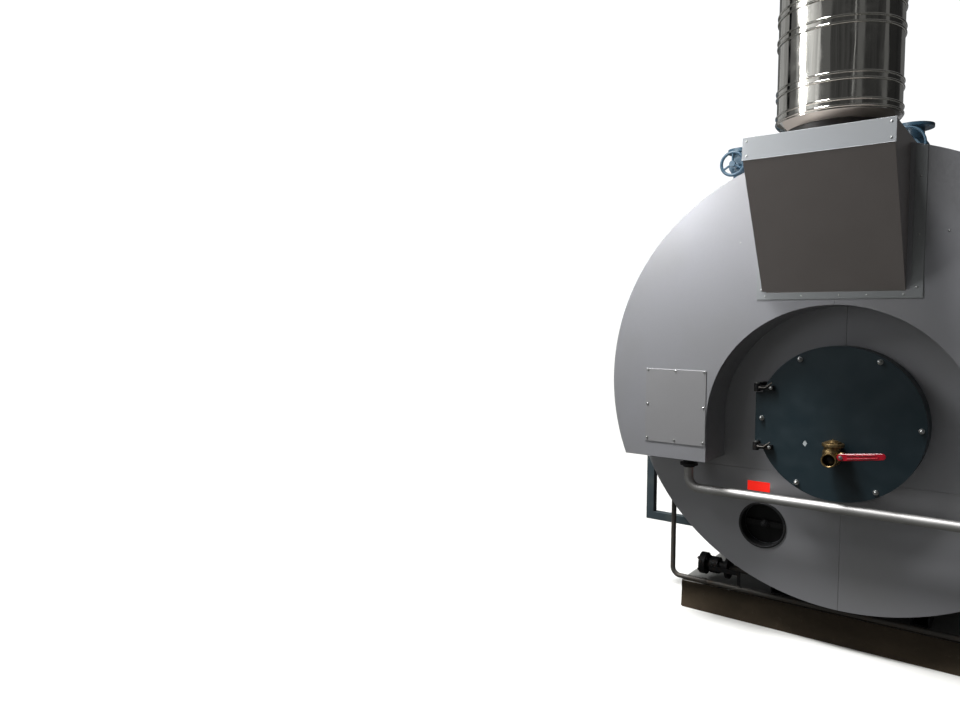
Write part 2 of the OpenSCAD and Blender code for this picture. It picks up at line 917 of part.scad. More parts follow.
// Arms bolted to the door's face above and below the tab, each with an eye on its pin
module door_hinge_eyes() {
    color("black")
    for (z = eye_centres)
        difference() {
            union() {
                upright(eye_r, z - eye_h / 2, z + eye_h / 2, x = -hinge_x, y = hinge_axis_y);
                translate([-hinge_x, hinge_axis_y - eye_wall, z - eye_h / 2])
                    cube([arm_len, hinge_y + eye_wall - seat, eye_h]);
            }
            upright(pin_r + play, z - eye_h, z + eye_h, x = -hinge_x, y = hinge_axis_y);
        }
}

// Posts beside the door that carry a fork round each eye
module hinge_brackets() {
    color("black")
    for (z = eye_centres) {
        hinge_post(z, 0);
        for (side = [-1, 1]) hinge_fork(z + side * (fork_h - fork_t) / 2);
    }
}

// One plate of a fork, bored for the pin
module hinge_fork(z) {
    difference() {
        union() {
            upright(eye_r, z - fork_t / 2, z + fork_t / 2, x = -hinge_x, y = hinge_axis_y);
            translate([-hinge_x - eye_r, hinge_axis_y, z - fork_t / 2])
                cube([fork_w, post_y + over - hinge_axis_y, fork_t]);
        }
        upright(pin_r, z - fork_t, z + fork_t, x = -hinge_x, y = hinge_axis_y);
    }
}

// The post behind one fork, running back to the tube sheet
module hinge_post(z, grow) {
    translate([-hinge_x - eye_r - grow, post_y, z - fork_h / 2 - grow])
        cube([fork_w + 2 * grow, y_sheet - seat - post_y, fork_h + 2 * grow]);
}

module hinge_post_holes() {
    for (z = eye_centres) hinge_post(z, seat);
}

// Pins that stand out of the forks at both ends, each with a round head
module hinge_pins() {
    head_r = pin_r + 4;
    head_h = 5;
    tail = 2;
    color("silver")
    for (z = eye_centres) {
        head_z = z + fork_h / 2 + seat;
        upright(pin_r - 0.1, z - fork_h / 2 - tail, head_z + over, x = -hinge_x, y = hinge_axis_y);
        upright(head_r, head_z, head_z + head_h, x = -hinge_x, y = hinge_axis_y);
    }
}

// Brass valve on the door: an open port, a boss for the lever and a stepped cap on top
module valve_body() {
    ring_l = 16;
    color("darkgoldenrod")
    difference() {
        union() {
            along_y(port_ring_r, port_face, port_face + ring_l, port_x, port_z);
            along_y(port_r + port_wall, port_face, valve_y, port_x, port_z);
            along_y(neck_r, valve_y, door_face - seat, port_x, port_z);
            upright(barrel_r, port_z - lever_out, cap_z, x = port_x, y = valve_y);
            upright(cap_r, cap_z, cap_hex_z, x = port_x, y = valve_y);
            translate([port_x, valve_y, cap_hex_z - over])
                cylinder(r = cap_hex_r, h = cap_top_z - cap_hex_z + over, $fn = 6);
            upright(cap_top_r, cap_top_z - over, cap_top_z + lever_t, x = port_x, y = valve_y);
            along_y(spindle_boss_r, lever_y + lever_t + seat, valve_y, stem_pos[0], stem_pos[1]);
            translate([port_x, valve_y - boss_block / 2, stem_pos[1] - boss_block / 2])
                cube([stem_x, boss_block, boss_block]);
        }
        along_y(port_r, port_face - over, valve_y + lever_out, port_x, port_z);
        along_y(spindle_r + play, lever_y, valve_y - lever_out, stem_pos[0], stem_pos[1]);
    }
}

// Red lever with two ribs, its nut and its spindle
module valve_lever() {
    tip_r = lever_w / 2;
    straight = lever_len - tip_r;
    color("crimson")
    translate([stem_pos[0], lever_y, stem_pos[1]]) rotate([0, -lever_rise, 0]) {
        along_y(tip_r + over, 0, lever_t);
        translate([0, 0, -tip_r]) cube([straight, lever_t, lever_w]);
        translate([straight, 0, 0]) along_y(tip_r, 0, lever_t);
        for (z = [-tip_r / 2, tip_r / 2])
            translate([rib_from, -rib_h, z - rib_w / 2]) cube([straight - rib_from, rib_h + over, rib_w]);
        along_y(spindle_r, -nut_h - rib_h, valve_y - lever_y - 2 * lever_out);
        translate([0, -nut_h, 0]) rotate([-90, 0, 0]) cylinder(r = nut_r, h = nut_h + over, $fn = 6);
    }
}

// Quarter bend of the crossing pipe at its left or right end
module pipe_corner(side, r) {
    translate([side * (pipe_x - pipe_bend), pipe_y, pipe_z + pipe_bend])
        rotate([90, 0, 0]) rotate([0, 0, side < 0 ? 180 : 270])
            rotate_extrude(angle = 90) translate([pipe_bend, 0]) circle(r = r, $fn = 48);
}

module pipe_run(r, extra) {
    straight = pipe_x - pipe_bend;
    along_x(r, -straight, straight, pipe_y, pipe_z);
    for (side = [-1, 1]) {
        pipe_corner(side, r);
        upright(r, pipe_z + pipe_bend, leg_z - seat + extra, x = side * pipe_x, y = pipe_y);
    }
}

module crossing_pipe() {
    color("lightsteelblue")
    difference() {
        pipe_run(pipe_r, 0);
        pipe_run(pipe_r - pipe_t, over);
    }
}

// Flanged stub under each leg that takes an end of the crossing pipe
module pipe_sockets() {
    top = leg_z - seat;
    flange_z = top - stub_flange_drop;
    color("dimgray")
    for (side = [-1, 1])
        difference() {
            union() {
                upright(pipe_r + stub_t, top - stub_h, top, x = side * pipe_x, y = pipe_y);
                upright(stub_flange_r, flange_z - stub_flange_t, flange_z, x = side * pipe_x, y = pipe_y);
            }
            upright(pipe_r + seat, top - stub_h - over, top + over, x = side * pipe_x, y = pipe_y);
        }
}

// Sleeve through the end wall to the handhole, with a lip that stands proud
module inspection_port() {
    sleeve_r = sight_r - sleeve_lip;
    color("dimgray")
    difference() {
        union() {
            along_y(sight_r, y_recess - sight_proud, y_recess - seat, -sight_x, sight_z);
            along_y(sleeve_r, y_recess - over, y_sheet - seat, -sight_x, sight_z);
        }
        along_y(sleeve_r - sleeve_t, y_recess - sight_proud - over, y_sheet, -sight_x, sight_z);
    }
}

// Cover seated in the handhole, with its stud, nut and bridge
module handhole_cover() {
    cover_r = handhole_r - seat;
    low = sight_z - bridge_w / 2;
    color("dimgray") {
        along_y(cover_r, y_sheet, y_sheet + tube_sheet_t, -sight_x, sight_z);
        along_y(handhole_stud_r, bridge_y - bridge_t, y_sheet + over, -sight_x, sight_z);
        along_y(2 * handhole_stud_r, bridge_y - bridge_t / 2, bridge_y + over, -sight_x, sight_z);
        translate([-sight_x - cover_r + bridge_t, bridge_y, low])
            cube([2 * (cover_r - bridge_t), bridge_t, bridge_w]);
        for (side = [-1, 1])
            translate([side * (cover_r - 2 * bridge_t) - sight_x - bridge_t / 2, bridge_y, low])
                cube([bridge_t, y_sheet - bridge_y + over, bridge_w]);
    }
}

// Thin drain pipe: down from the cladding on both sides, and along the front of the plinth
module drain_pipe() {
    straight = drain_x - drain_bend;
    color("gray")
    difference() {
        union() {
            along_x(drain_r, -straight, straight, drain_y, drain_z);
            for (side = [-1, 1]) {
                upright(drain_r, drain_z + drain_bend, axis_z - drum_r / 2, x = side * drain_x, y = drain_y);
                translate([side * straight, drain_y, drain_z + drain_bend])
                    rotate([90, 0, 0]) rotate([0, 0, side < 0 ? 180 : 270])
                        rotate_extrude(angle = 90) translate([drain_bend, 0]) circle(r = drain_r, $fn = 32);
                drain_clip(side * drain_clip_x);
            }
        }
        along_y(clad_r + seat, y_sheet, y_far_sheet, z = axis_z);
    }
}

// Ring round the drain pipe with a foot on the plinth
module drain_clip(x) {
    along_x(drain_r + clip_t, x - clip_w / 2, x + clip_w / 2, drain_y, drain_z);
    translate([x - clip_w / 2, drain_y, plinth_h + seat]) cube([clip_w, drain_out + clip_reach, clip_t]);
}

// A round flange facing along X
module blow_flange(x) {
    along_x(blow_flange_r, x, x + blow_flange_t, blow_y, blow_z);
}

// Flanged blow-down valve under the shoulder of the boiler, with its lever bent down at the end
module blowdown_valve() {
    outer = -blow_x;
    second = outer + blow_flange_t + gasket_t;
    mid = outer + blow_len / 2;
    lever_face = blow_y - blow_body_r - blow_stem_out;
    lever_x = mid - blow_stem_r;
    color("black")
    difference() {
        union() {
            for (x = [outer, second, outer + blow_len - blow_flange_t]) blow_flange(x);
            along_x(blow_pcd_r - blow_hole_r - over, outer, second + over, blow_y, blow_z);
            along_x(blow_r + blow_stem_r, outer, outer + blow_len, blow_y, blow_z);
            along_x(blow_body_r, mid - blow_body_r / 2, mid + blow_body_r / 2, blow_y, blow_z);
            along_y(blow_stem_r, lever_face, blow_y, mid, blow_z);
            translate([lever_x, lever_face, blow_z - blow_lever_w / 2])
                cube([blow_lever_len, blow_lever_t, blow_lever_w]);
            translate([lever_x + blow_lever_len - blow_lever_end, lever_face, blow_z - blow_lever_drop])
                cube([blow_lever_end, blow_lever_t, blow_lever_drop]);
        }
        along_x(blow_r, outer - over, outer + blow_len + over, blow_y, blow_z);
        for (i = [0:3])
            translate([0, blow_y, blow_z]) rotate([90 * i + 45, 0, 0])
                along_x(blow_hole_r, outer - over, second + blow_flange_t + over, 0, blow_pcd_r);
    }
}

// Pipe from the boiler's underside to the blow-down valve
module blowdown_pipe() {
    from = blow_x - blow_len - seat;
    color("dimgray")
    difference() {
        union() {
            along_x(blow_r, -from, -blow_elbow_x - blow_bend, blow_y, blow_z);
            translate([-blow_elbow_x - blow_bend, blow_y, blow_z + blow_bend])
                rotate([90, 0, 0]) rotate([0, 0, 270])
                    rotate_extrude(angle = 90) translate([blow_bend, 0]) circle(r = blow_r, $fn = 32);
            upright(blow_r, blow_z + blow_bend, axis_z - drum_r / 2, x = -blow_elbow_x, y = blow_y);
        }
        along_y(clad_r + seat, y_sheet, y_far_sheet, z = axis_z);
    }
}

// Open frame of square tube fastened to the boiler's side
module side_frame() {
    y0 = y_face + frame_in;
    reach = frame_x - clad_r / 2;
    hollow = frame_tube - 2 * frame_wall;
    color("darkslategray")
    difference() {
        union() {
            translate([-frame_x, y0, frame_low]) cube([frame_tube, frame_tube, frame_top - frame_low]);
            for (z = [frame_low, frame_top - frame_tube])
                translate([-frame_x, y0, z]) cube([reach, frame_tube, frame_tube]);
        }
        along_y(clad_r + seat, y_sheet, y_far_sheet, z = axis_z);
        translate([-frame_x + frame_wall, y0 + frame_wall, frame_low + 2 * frame_tube])
            cube([hollow, hollow, frame_top - frame_low - 4 * frame_tube]);
    }
}

// Nozzles that rise through the cladding, each with a flange
module crown_nozzles() {
    color("gray") {
        nozzle(0, steam_y, steam_r, steam_flange_r, steam_flange_z);
        nozzle(-shoulder_x, shoulder_y, shoulder_r, shoulder_flange_r, shoulder_top);
    }
}

module nozzle(x, y, r, flange_r, top) {
    difference() {
        union() {
            upright(r, axis_z + drum_r / 2, top, x = x, y = y);
            upright(flange_r, top - flange_t, top, x = x, y = y);
        }
        upright(r - nozzle_t, axis_z + drum_r / 2 - over, top + over, x = x, y = y);
        along_y(drum_r + seat, y - 3 * r, y + 3 * r, z = axis_z);
    }
}

// Stop valve on each nozzle
module crown_valves() {
    top = steam_flange_z + seat + steam_valve_len;
    color("steelblue")
    difference() {
        flanged_valve(0, steam_y, steam_r, steam_flange_r, steam_flange_z, steam_valve_len);
        for (i = [0:7])
            translate([0, steam_y, 0]) rotate([0, 0, 45 * i + 22.5])
                upright(bolt_hole_r, top - flange_t - over, top + over, x = steam_pcd_r);
    }
    color("teal")
    flanged_valve(-shoulder_x, shoulder_y, shoulder_r, shoulder_flange_r, shoulder_top, shoulder_valve_len);
}

// Globe valve that stands on a flange at a level, its bonnet and handwheel turned forward
module flanged_valve(x, y, r, flange_r, foot, length) {
    z0 = foot + seat;
    mid = z0 + length / 2;
    bonnet_y = y - bonnet_share * length;
    difference() {
        union() {
            upright(flange_r, z0, z0 + flange_t, x = x, y = y);
            upright(flange_r, z0 + length - flange_t, z0 + length, x = x, y = y);
            upright(r, z0, z0 + length, x = x, y = y);
            translate([x, y, mid]) sphere(r = globe_share * length);
            along_y(0.7 * r, bonnet_y, y, x, mid);
            along_y(r, bonnet_y, bonnet_y + flange_t / 2, x, mid);
            along_y(0.4 * r, bonnet_y - flange_t, bonnet_y + over, x, mid);
            along_y(wheel_wire, y - stem_share * length, bonnet_y, x, mid);
            translate([x, y - stem_share * length + wheel_wire, mid]) handwheel(wheel_share * length);
        }
        upright(r - nozzle_t, z0 - over, z0 + length + over, x = x, y = y);
    }
}

// Rim, three spokes and hub of a handwheel that turns about Y
module handwheel(r) {
    rotate([90, 0, 0]) {
        rotate_extrude() translate([r - wheel_wire, 0]) circle(r = wheel_wire, $fn = 24);
        translate([0, 0, -wheel_wire]) cylinder(r = 2 * wheel_wire, h = 2 * wheel_wire);
        for (i = [0:2]) rotate([0, 0, 120 * i + 90]) rotate([0, 90, 0])
            cylinder(r = 0.7 * wheel_wire, h = r - wheel_wire);
    }
}

// Crown manhole: a flanged neck on the drum, and its bolted cover
module manhole() {
    foot = axis_z + drum_r / 2;
    gap = 2;
    color("gray")
    difference() {
        union() {
            upright(manhole_r, foot, manhole_z + over, y = manhole_y);
            upright(manhole_r + manhole_flange, manhole_z - manhole_cover_t, manhole_z, y = manhole_y);
            upright(manhole_r, manhole_z - over, manhole_z + gap + over, y = manhole_y);
            upright(manhole_r + manhole_flange, manhole_z + gap, manhole_z + gap + manhole_cover_t,
                y = manhole_y);
        }
        along_y(drum_r + seat, manhole_y - 2 * manhole_r, manhole_y + 2 * manhole_r, z = axis_z);
        upright(manhole_r - manhole_t, foot - over, manhole_z, y = manhole_y);
    }
}

// Plates on the drum's crown, in line with it, each with an eye for a shackle
module lifting_lugs() {
    color("gray")
    for (y = lug_ys())
        difference() {
            lug_plate(y, 0);
            along_y(drum_r + seat, y - 2 * lug_r, y + 2 * lug_r, z = axis_z);
            along_x(lug_eye_r, -lug_plate_t, lug_plate_t, y, eye_z);
        }
}

// Insulated box that turns the gas round at the burner end
module turning_box() {
    color("silver")
    difference() {
        slab(y_far_sheet + seat, y_far - front_t - seat) horseshoe();
        slab(y_far_sheet, y_far) horseshoe(jacket_t);
    }
}

module turning_doors() {
    color("lightgray")
    for (side = [-1, 1]) slab(y_far - front_t, y_far) half(side) horseshoe();
}

module burner_end_panel() {
    color("silver")
    difference() {
        slab(y_far_sheet + seat, y_far_recess) end_wall_shape();
        along_y(furnace_r, y_far_sheet - over, y_far_recess + over, z = door_z);
    }
}

// Plate that takes the burner, lined down to the throat
module burner_plate() {
    plate_face = y_far_recess + burner_plate_t;
    stud_depth = 40;
    color("darkslategray")
    difference() {
        union() {
            along_y(burner_plate_r, y_far_recess + seat, plate_face, z = door_z);
            along_y(furnace_r - 2, y_far_sheet + seat, y_far_recess + over, z = door_z);
        }
        along_y(burner_r, y_far_sheet - over, plate_face + over, z = door_z);
        for (i = [0:7])
            rotate_about_burner(45 * i + 22.5)
                along_y(burner_hole_r, y_far_recess - stud_depth, plate_face + over, burner_pcd_r, door_z);
    }
}

// Turns a shape about the burner's axis
module rotate_about_burner(angle) {
    translate([0, 0, door_z]) rotate([0, angle, 0]) translate([0, 0, -door_z]) children();
}

plinth();
base_frame();
drum_shell();
tube_sheets();
furnace_tube();
reversing_chamber();
cladding();
end_panel_upper_left();
end_panel_upper_right();
end_panel_lower_left();
end_panel_lower_right();
collector_box();
collector_jacket_left();
collector_jacket_right();
collector_front_left();
collector_front_right();
cleaning_covers();
hood_body();
hood_fascia();
hood_flange();
flue_liner();
flue_cone();
flue_jacket();
flue_bands();
door_collar();
door_plate();
door_plug();
door_hinge_eyes();
hinge_brackets();
hinge_pins();
valve_body();
valve_lever();
crossing_pipe();
pipe_sockets();
inspection_port();
handhole_cover();
drain_pipe();
blowdown_valve();
blowdown_pipe();
side_frame();
crown_nozzles();
crown_valves();
manhole();
lifting_lugs();
turning_box();
turning_doors();
burner_end_panel();
burner_plate();
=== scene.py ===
import json
import math
import bmesh
import bpy
from mathutils import Matrix, Vector, noise


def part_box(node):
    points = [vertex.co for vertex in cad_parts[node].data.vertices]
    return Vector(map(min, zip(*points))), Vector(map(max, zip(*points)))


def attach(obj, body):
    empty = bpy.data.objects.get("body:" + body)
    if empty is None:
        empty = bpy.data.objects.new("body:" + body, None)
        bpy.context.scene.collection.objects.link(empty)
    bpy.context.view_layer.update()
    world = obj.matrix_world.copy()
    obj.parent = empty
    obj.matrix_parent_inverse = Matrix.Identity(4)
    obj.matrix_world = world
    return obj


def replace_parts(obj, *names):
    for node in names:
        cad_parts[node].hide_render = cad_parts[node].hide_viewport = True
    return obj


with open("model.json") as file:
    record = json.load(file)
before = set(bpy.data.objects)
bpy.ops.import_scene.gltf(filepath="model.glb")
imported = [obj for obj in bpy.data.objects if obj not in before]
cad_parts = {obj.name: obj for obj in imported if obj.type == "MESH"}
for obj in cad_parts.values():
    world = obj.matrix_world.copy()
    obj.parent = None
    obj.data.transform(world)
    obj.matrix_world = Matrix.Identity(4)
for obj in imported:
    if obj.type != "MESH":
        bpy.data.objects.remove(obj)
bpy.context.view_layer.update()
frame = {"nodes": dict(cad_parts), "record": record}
nodes = frame["nodes"]
mm = 0.001  # one millimetre in scene units
towardFront, towardBack, upward = (0, -1, 0), (0, 1, 0), (0, 0, 1)
towardLeft, towardRight = (-1, 0, 0), (1, 0, 0)
mixFirst, mixSecond, mixResult = 6, 7, 2  # a Mix node's sockets for colours


# How the studio is set up: a seat for the camera at eye height, a soft key light from above, a softbox high
# on the left, screens that only reflections show, and a black flag that keeps the sky's light off the right
studio = {
    "cameraPlace": (0.800, -5.822, 1.627),
    "cameraYaw": 37.98,  # degrees to the left of straight ahead
    "cameraPitch": -3.09,
    "cameraRoll": 0.37,
    "lens": 27.72,
    "filmWidth": 36,
    "floorSize": 400,
    "floorTint": "#f1f1ee",  # as the camera sees it
    "floorShade": "#4e4e4c",  # as the boiler sees it, so that it throws little light back up
    "floorRough": 0.9,
    "skyTint": "#f4f5f6",
    "skySeen": 1.15,  # as bright as the floor, so that no horizon shows
    "skyLight": 0.08,
    "skyGlint": 0.13,
    "keyAim": (0.27, 0.31, -0.91),
    "keyAngle": 14,
    "keyPower": 4.0,
    "lampPlace": (-1.5, -3.4, 3.2),
    "lampTarget": (-0.6, -2.2, 1.9),
    "lampSize": (0.35, 1.7),
    "lampPower": 40,
    "screens": [
        # place, width and height in metres, brightness
        ((-5.4, -7.4, 3.6), 6.4, 4.6, 1.0),
        ((-7.5, 1.0, 3.0), 5.5, 7.0, 0.5),
        ((-6.5, -5.0, 2.0), 0.9, 7.0, 0.5),
        ((-7.0, -2.2, 2.5), 0.9, 7.0, 0.0),
        ((2.6, -9.5, 2.8), 6.5, 7.0, 0.07),
        ((4.9, -8.6, 3.0), 0.25, 7.0, 0.5),
        ((8.0, -4.5, 2.8), 6.0, 7.0, 0.05),
        ((7.0, 3.0, 3.0), 7.0, 7.0, 0.03),
    ],
    "screenAim": (0, -2.2),  # the screens and the flag face this line beside the flue
    "flagPlace": (5.5, -1.5, 2.5),
    "flagSize": (12, 9),
}


def linear(hexCode):
    # An sRGB hex colour as the linear numbers that the shaders take
    channels = [int(hexCode[i:i + 2], 16) / 255 for i in (1, 3, 5)]
    return [c / 12.92 if c <= 0.04045 else ((c + 0.055) / 1.055) ** 2.4 for c in channels] + [1]


def addNode(tree, kind, settings=None, links=None):
    # Adds one shader node, sets its options, and links or fills its inputs
    node = tree.nodes.new("ShaderNode" + kind)
    for key, value in (settings or {}).items():
        setattr(node, key, value)
    for key, value in (links or {}).items():
        if isinstance(value, bpy.types.NodeSocket):
            tree.links.new(value, node.inputs[key])
        else:
            node.inputs[key].default_value = value
    return node


def cells(size):
    # Noise scale that makes one cell that many millimetres wide
    return 1 / (size * mm)


def startMaterial(name, finish):
    # A principled surface, with the place on the object in metres for its patterns
    material = bpy.data.materials.new(name)
    material.use_nodes = True
    tree = material.node_tree
    tree.nodes.clear()
    shader = addNode(tree, "BsdfPrincipled", links=finish)
    addNode(tree, "OutputMaterial", links={"Surface": shader.outputs["BSDF"]})
    place = addNode(tree, "TexCoord").outputs["Object"]
    return material, tree, shader, place


def linkSurface(material, shader, patterns):
    # Links finished patterns to the surface, which completes the material
    for key, socket in patterns.items():
        material.node_tree.links.new(socket, shader.inputs[key])
    return material


def patchyTint(tree, place, size, detail, tints, levels=(0.0, 1.0), most=1.0):
    # Two tints in cloudy patches of a size in millimetres; gives the colour, and the clouds for other uses
    cloud = addNode(tree, "TexNoise", links={"Vector": place, "Scale": cells(size), "Detail": detail})
    share = addNode(tree, "MapRange", links={
        "Value": cloud.outputs["Fac"], "From Min": levels[0], "From Max": levels[1], "To Max": most})
    colour = addNode(tree, "Mix", {"data_type": "RGBA"}, {
        "Factor": share.outputs["Result"], mixFirst: linear(tints[0]), mixSecond: linear(tints[1])})
    return colour.outputs[mixResult], cloud.outputs["Fac"]


def softRelief(tree, place, size, detail, radius, strength, depth):
    # Edges softened by a radius, and a skin with bumps of a size and depth, all in millimetres
    skin = addNode(tree, "TexNoise", links={"Vector": place, "Scale": cells(size), "Detail": detail})
    edge = addNode(tree, "Bevel", {"samples": 4}, {"Radius": radius * mm})
    bump = addNode(tree, "Bump", links={
        "Height": skin.outputs["Fac"], "Normal": edge.outputs["Normal"],
        "Strength": strength, "Distance": depth * mm})
    return bump.outputs["Normal"]


def coatedSheet(name, tint, dustTint, metal):
    # Coil-coated steel sheet: satin, very even, with a soft waviness where the sheet isn't quite flat
    material, tree, shader, place = startMaterial(name, {
        "Metallic": metal, "IOR": 1.5, "Coat Weight": 0.12, "Coat Roughness": 0.35})
    colour = patchyTint(tree, place, 420, 3.0, (tint, dustTint), (0.42, 0.72), 0.34)[0]
    speck = addNode(tree, "TexNoise", links={"Vector": place, "Scale": cells(9), "Detail": 5.0})
    sheen = addNode(tree, "MapRange", links={
        "Value": speck.outputs["Fac"], "From Min": 0.3, "From Max": 0.7, "To Min": 0.36, "To Max": 0.47})
    return linkSurface(material, shader, {
        "Base Color": colour, "Roughness": sheen.outputs["Result"],
        "Normal": softRelief(tree, place, 260, 1.0, 1.6, 0.35, 3)})


def polishedStainless(name):
    # Bright annealed stainless sheet: a near mirror whose rolled surface bends what it reflects
    material, tree, shader, place = startMaterial(name, {
        "Base Color": linear("#d9d7d0"), "Metallic": 1.0})
    stretch = addNode(tree, "Mapping", links={"Vector": place, "Scale": (1.0, 1.0, 0.22)})
    smear = addNode(tree, "TexNoise", links={"Vector": place, "Scale": cells(60), "Detail": 5.0})
    haze = addNode(tree, "MapRange", links={
        "Value": smear.outputs["Fac"], "From Min": 0.35, "From Max": 0.75, "To Min": 0.06, "To Max": 0.2})
    return linkSurface(material, shader, {
        "Roughness": haze.outputs["Result"],
        "Normal": softRelief(tree, stretch.outputs["Vector"], 95, 2.0, 1.2, 0.5, 5)})


def brushedStainless(name):
    # Drawn stainless tube: a broad satin glint, faint lines along the tube and a few water stains
    material, tree, shader, place = startMaterial(name, {"Metallic": 1.0})
    stretch = addNode(tree, "Mapping", links={"Vector": place, "Scale": (0.06, 1.0, 1.0)})
    grain = addNode(tree, "TexNoise", links={
        "Vector": stretch.outputs["Vector"], "Scale": cells(9), "Detail": 3.0})
    lines = addNode(tree, "MapRange", links={
        "Value": grain.outputs["Fac"], "From Min": 0.3, "From Max": 0.7, "To Min": 0.5, "To Max": 0.6})
    colour = patchyTint(tree, place, 80, 4.0, ("#cfcfce", "#aeaca9"))[0]
    edge = addNode(tree, "Bevel", {"samples": 4}, {"Radius": 1 * mm})
    return linkSurface(material, shader, {
        "Base Color": colour, "Roughness": lines.outputs["Result"], "Normal": edge.outputs["Normal"]})


def enamel(name, tint, wornTint, rough, coat):
    # Brushed-on industrial enamel: faint orange peel, with cloudy patches of a worn tint that are also
    # rougher
    material, tree, shader, place = startMaterial(name, {
        "IOR": 1.5, "Coat Weight": coat, "Coat Roughness": 0.3})
    colour, dust = patchyTint(tree, place, 75, 6.0, (tint, wornTint), (0.5, 0.8), 0.5)
    gloss = addNode(tree, "MapRange", links={
        "Value": dust, "From Min": 0.3, "From Max": 0.8, "To Min": rough - 0.06, "To Max": rough + 0.16})
    return linkSurface(material, shader, {
        "Base Color": colour, "Roughness": gloss.outputs["Result"],
        "Normal": softRelief(tree, place, 4, 2.0, 1.5, 0.12, 0.6)})


def castBrass(name):
    # Sand-cast brass with tarnish: dull brown skin, brighter where hands and spanners rub it
    material, tree, shader, place = startMaterial(name, {"Metallic": 1.0})
    colour, tarnish = patchyTint(tree, place, 14, 6.0, ("#aa9165", "#5c4d39"), (0.36, 0.68))
    rough = addNode(tree, "MapRange", links={"Value": tarnish, "To Min": 0.28, "To Max": 0.6})
    return linkSurface(material, shader, {
        "Base Color": colour, "Roughness": rough.outputs["Result"],
        "Normal": softRelief(tree, place, 1.6, 3.0, 1, 0.25, 0.4)})


def zincPlate(name):
    # Blue-passivated zinc plating: pale metal, slightly blotched
    material, tree, shader, place = startMaterial(name, {"Metallic": 1.0, "Roughness": 0.3})
    colour = patchyTint(tree, place, 7, 4.0, ("#dfe2e4", "#a3a39c"))[0]
    edge = addNode(tree, "Bevel", {"samples": 4}, {"Radius": 0.6 * mm})
    return linkSurface(material, shader, {"Base Color": colour, "Normal": edge.outputs["Normal"]})


def blackedSteel(name, tint="#161719", rustTint="#3a2a20"):
    # Hot-rolled steel left black: matt scale with a trace of rust in the grain
    material, tree, shader, place = startMaterial(name, {"Metallic": 0.4})
    colour, scale = patchyTint(tree, place, 22, 7.0, (tint, rustTint), (0.5, 0.75), 0.8)
    rough = addNode(tree, "MapRange", links={"Value": scale, "To Min": 0.34, "To Max": 0.72})
    return linkSurface(material, shader, {
        "Base Color": colour, "Roughness": rough.outputs["Result"],
        "Normal": softRelief(tree, place, 2, 4.0, 1.2, 0.3, 0.5)})


def agedConcrete(name):
    # Cast concrete, painted once and long since dirty: olive film, faint knocks, pores, and a paler top that
    # is partly dust and partly painted light
    material, tree, shader, place = startMaterial(name, {"Roughness": 0.86, "IOR": 1.45})
    dirt = addNode(tree, "TexNoise", links={
        "Vector": place, "Scale": cells(240), "Detail": 8.0, "Roughness": 0.62})
    spots = addNode(tree, "TexNoise", links={"Vector": place, "Scale": cells(18), "Detail": 8.0})
    pores = addNode(tree, "TexVoronoi", links={"Vector": place, "Scale": cells(24)})
    share = addNode(tree, "MapRange", links={
        "Value": dirt.outputs["Fac"], "From Min": 0.35, "From Max": 0.7})
    knock = addNode(tree, "MapRange", links={
        "Value": spots.outputs["Fac"], "From Min": 0.62, "From Max": 0.8, "To Max": 0.3})
    # Upward faces turn pale: partly dust, partly painted light on the top
    skin = addNode(tree, "NewGeometry").outputs["Normal"]
    facing = addNode(tree, "SeparateXYZ", links={"Vector": skin})
    dust = addNode(tree, "MapRange", links={
        "Value": facing.outputs["Z"], "From Min": 0.75, "From Max": 0.98})
    colour = linear("#4d4233")
    for layer, tint in ((share, "#615443"), (knock, "#7d7460"), (dust, "#9a9a97")):
        colour = addNode(tree, "Mix", {"data_type": "RGBA"}, {
            "Factor": layer.outputs["Result"], mixFirst: colour, mixSecond: linear(tint)}).outputs[mixResult]
    depth = addNode(tree, "MapRange", links={"Value": pores.outputs["Distance"], "From Max": 0.2})
    relief = addNode(tree, "Math", {"operation": "MULTIPLY"}, {
        0: depth.outputs["Result"], 1: spots.outputs["Fac"]})
    bump = addNode(tree, "Bump", links={
        "Height": relief.outputs["Value"], "Strength": 0.7, "Distance": 2.5 * mm})
    return linkSurface(material, shader, {"Base Color": colour, "Normal": bump.outputs["Normal"]})


def refractory(name):
    # Castable refractory: chalky cream, grainy, sooted here and there
    material, tree, shader, place = startMaterial(name, {"Roughness": 0.92})
    colour = patchyTint(tree, place, 110, 6.0, ("#d9ccb0", "#8d7f6a"), (0.4, 0.7))[0]
    grain = addNode(tree, "TexNoise", links={"Vector": place, "Scale": cells(5), "Detail": 4.0})
    bump = addNode(tree, "Bump", links={
        "Height": grain.outputs["Fac"], "Strength": 0.5, "Distance": 1.5 * mm})
    return linkSurface(material, shader, {"Base Color": colour, "Normal": bump.outputs["Normal"]})


def dippedVinyl(name, tint, deepTint):
    # PVC dipped over a steel handle: glossy and slightly soft-looking, darker where hands have been
    material, tree, shader, place = startMaterial(name, {
        "Roughness": 0.3, "IOR": 1.53, "Coat Weight": 0.4, "Coat Roughness": 0.15})
    colour = patchyTint(tree, place, 26, 5.0, (tint, deepTint), (0.45, 0.75), 0.7)[0]
    edge = addNode(tree, "Bevel", {"samples": 4}, {"Radius": 1.5 * mm})
    return linkSurface(material, shader, {"Base Color": colour, "Normal": edge.outputs["Normal"]})


def redWithPaintedGlow(name):
    # Red film with a glow of its own, which is painted light that keeps the plate bright in the shade of the
    # leg
    material, tree, shader, place = startMaterial(name, {
        "Base Color": linear("#f5281e"), "IOR": 1.5,
        "Emission Color": linear("#f02418"), "Emission Strength": 0.85})
    fade = addNode(tree, "TexNoise", links={"Vector": place, "Scale": cells(40), "Detail": 3.0})
    rough = addNode(tree, "MapRange", links={"Value": fade.outputs["Fac"], "To Min": 0.35, "To Max": 0.6})
    return linkSurface(material, shader, {"Roughness": rough.outputs["Result"]})


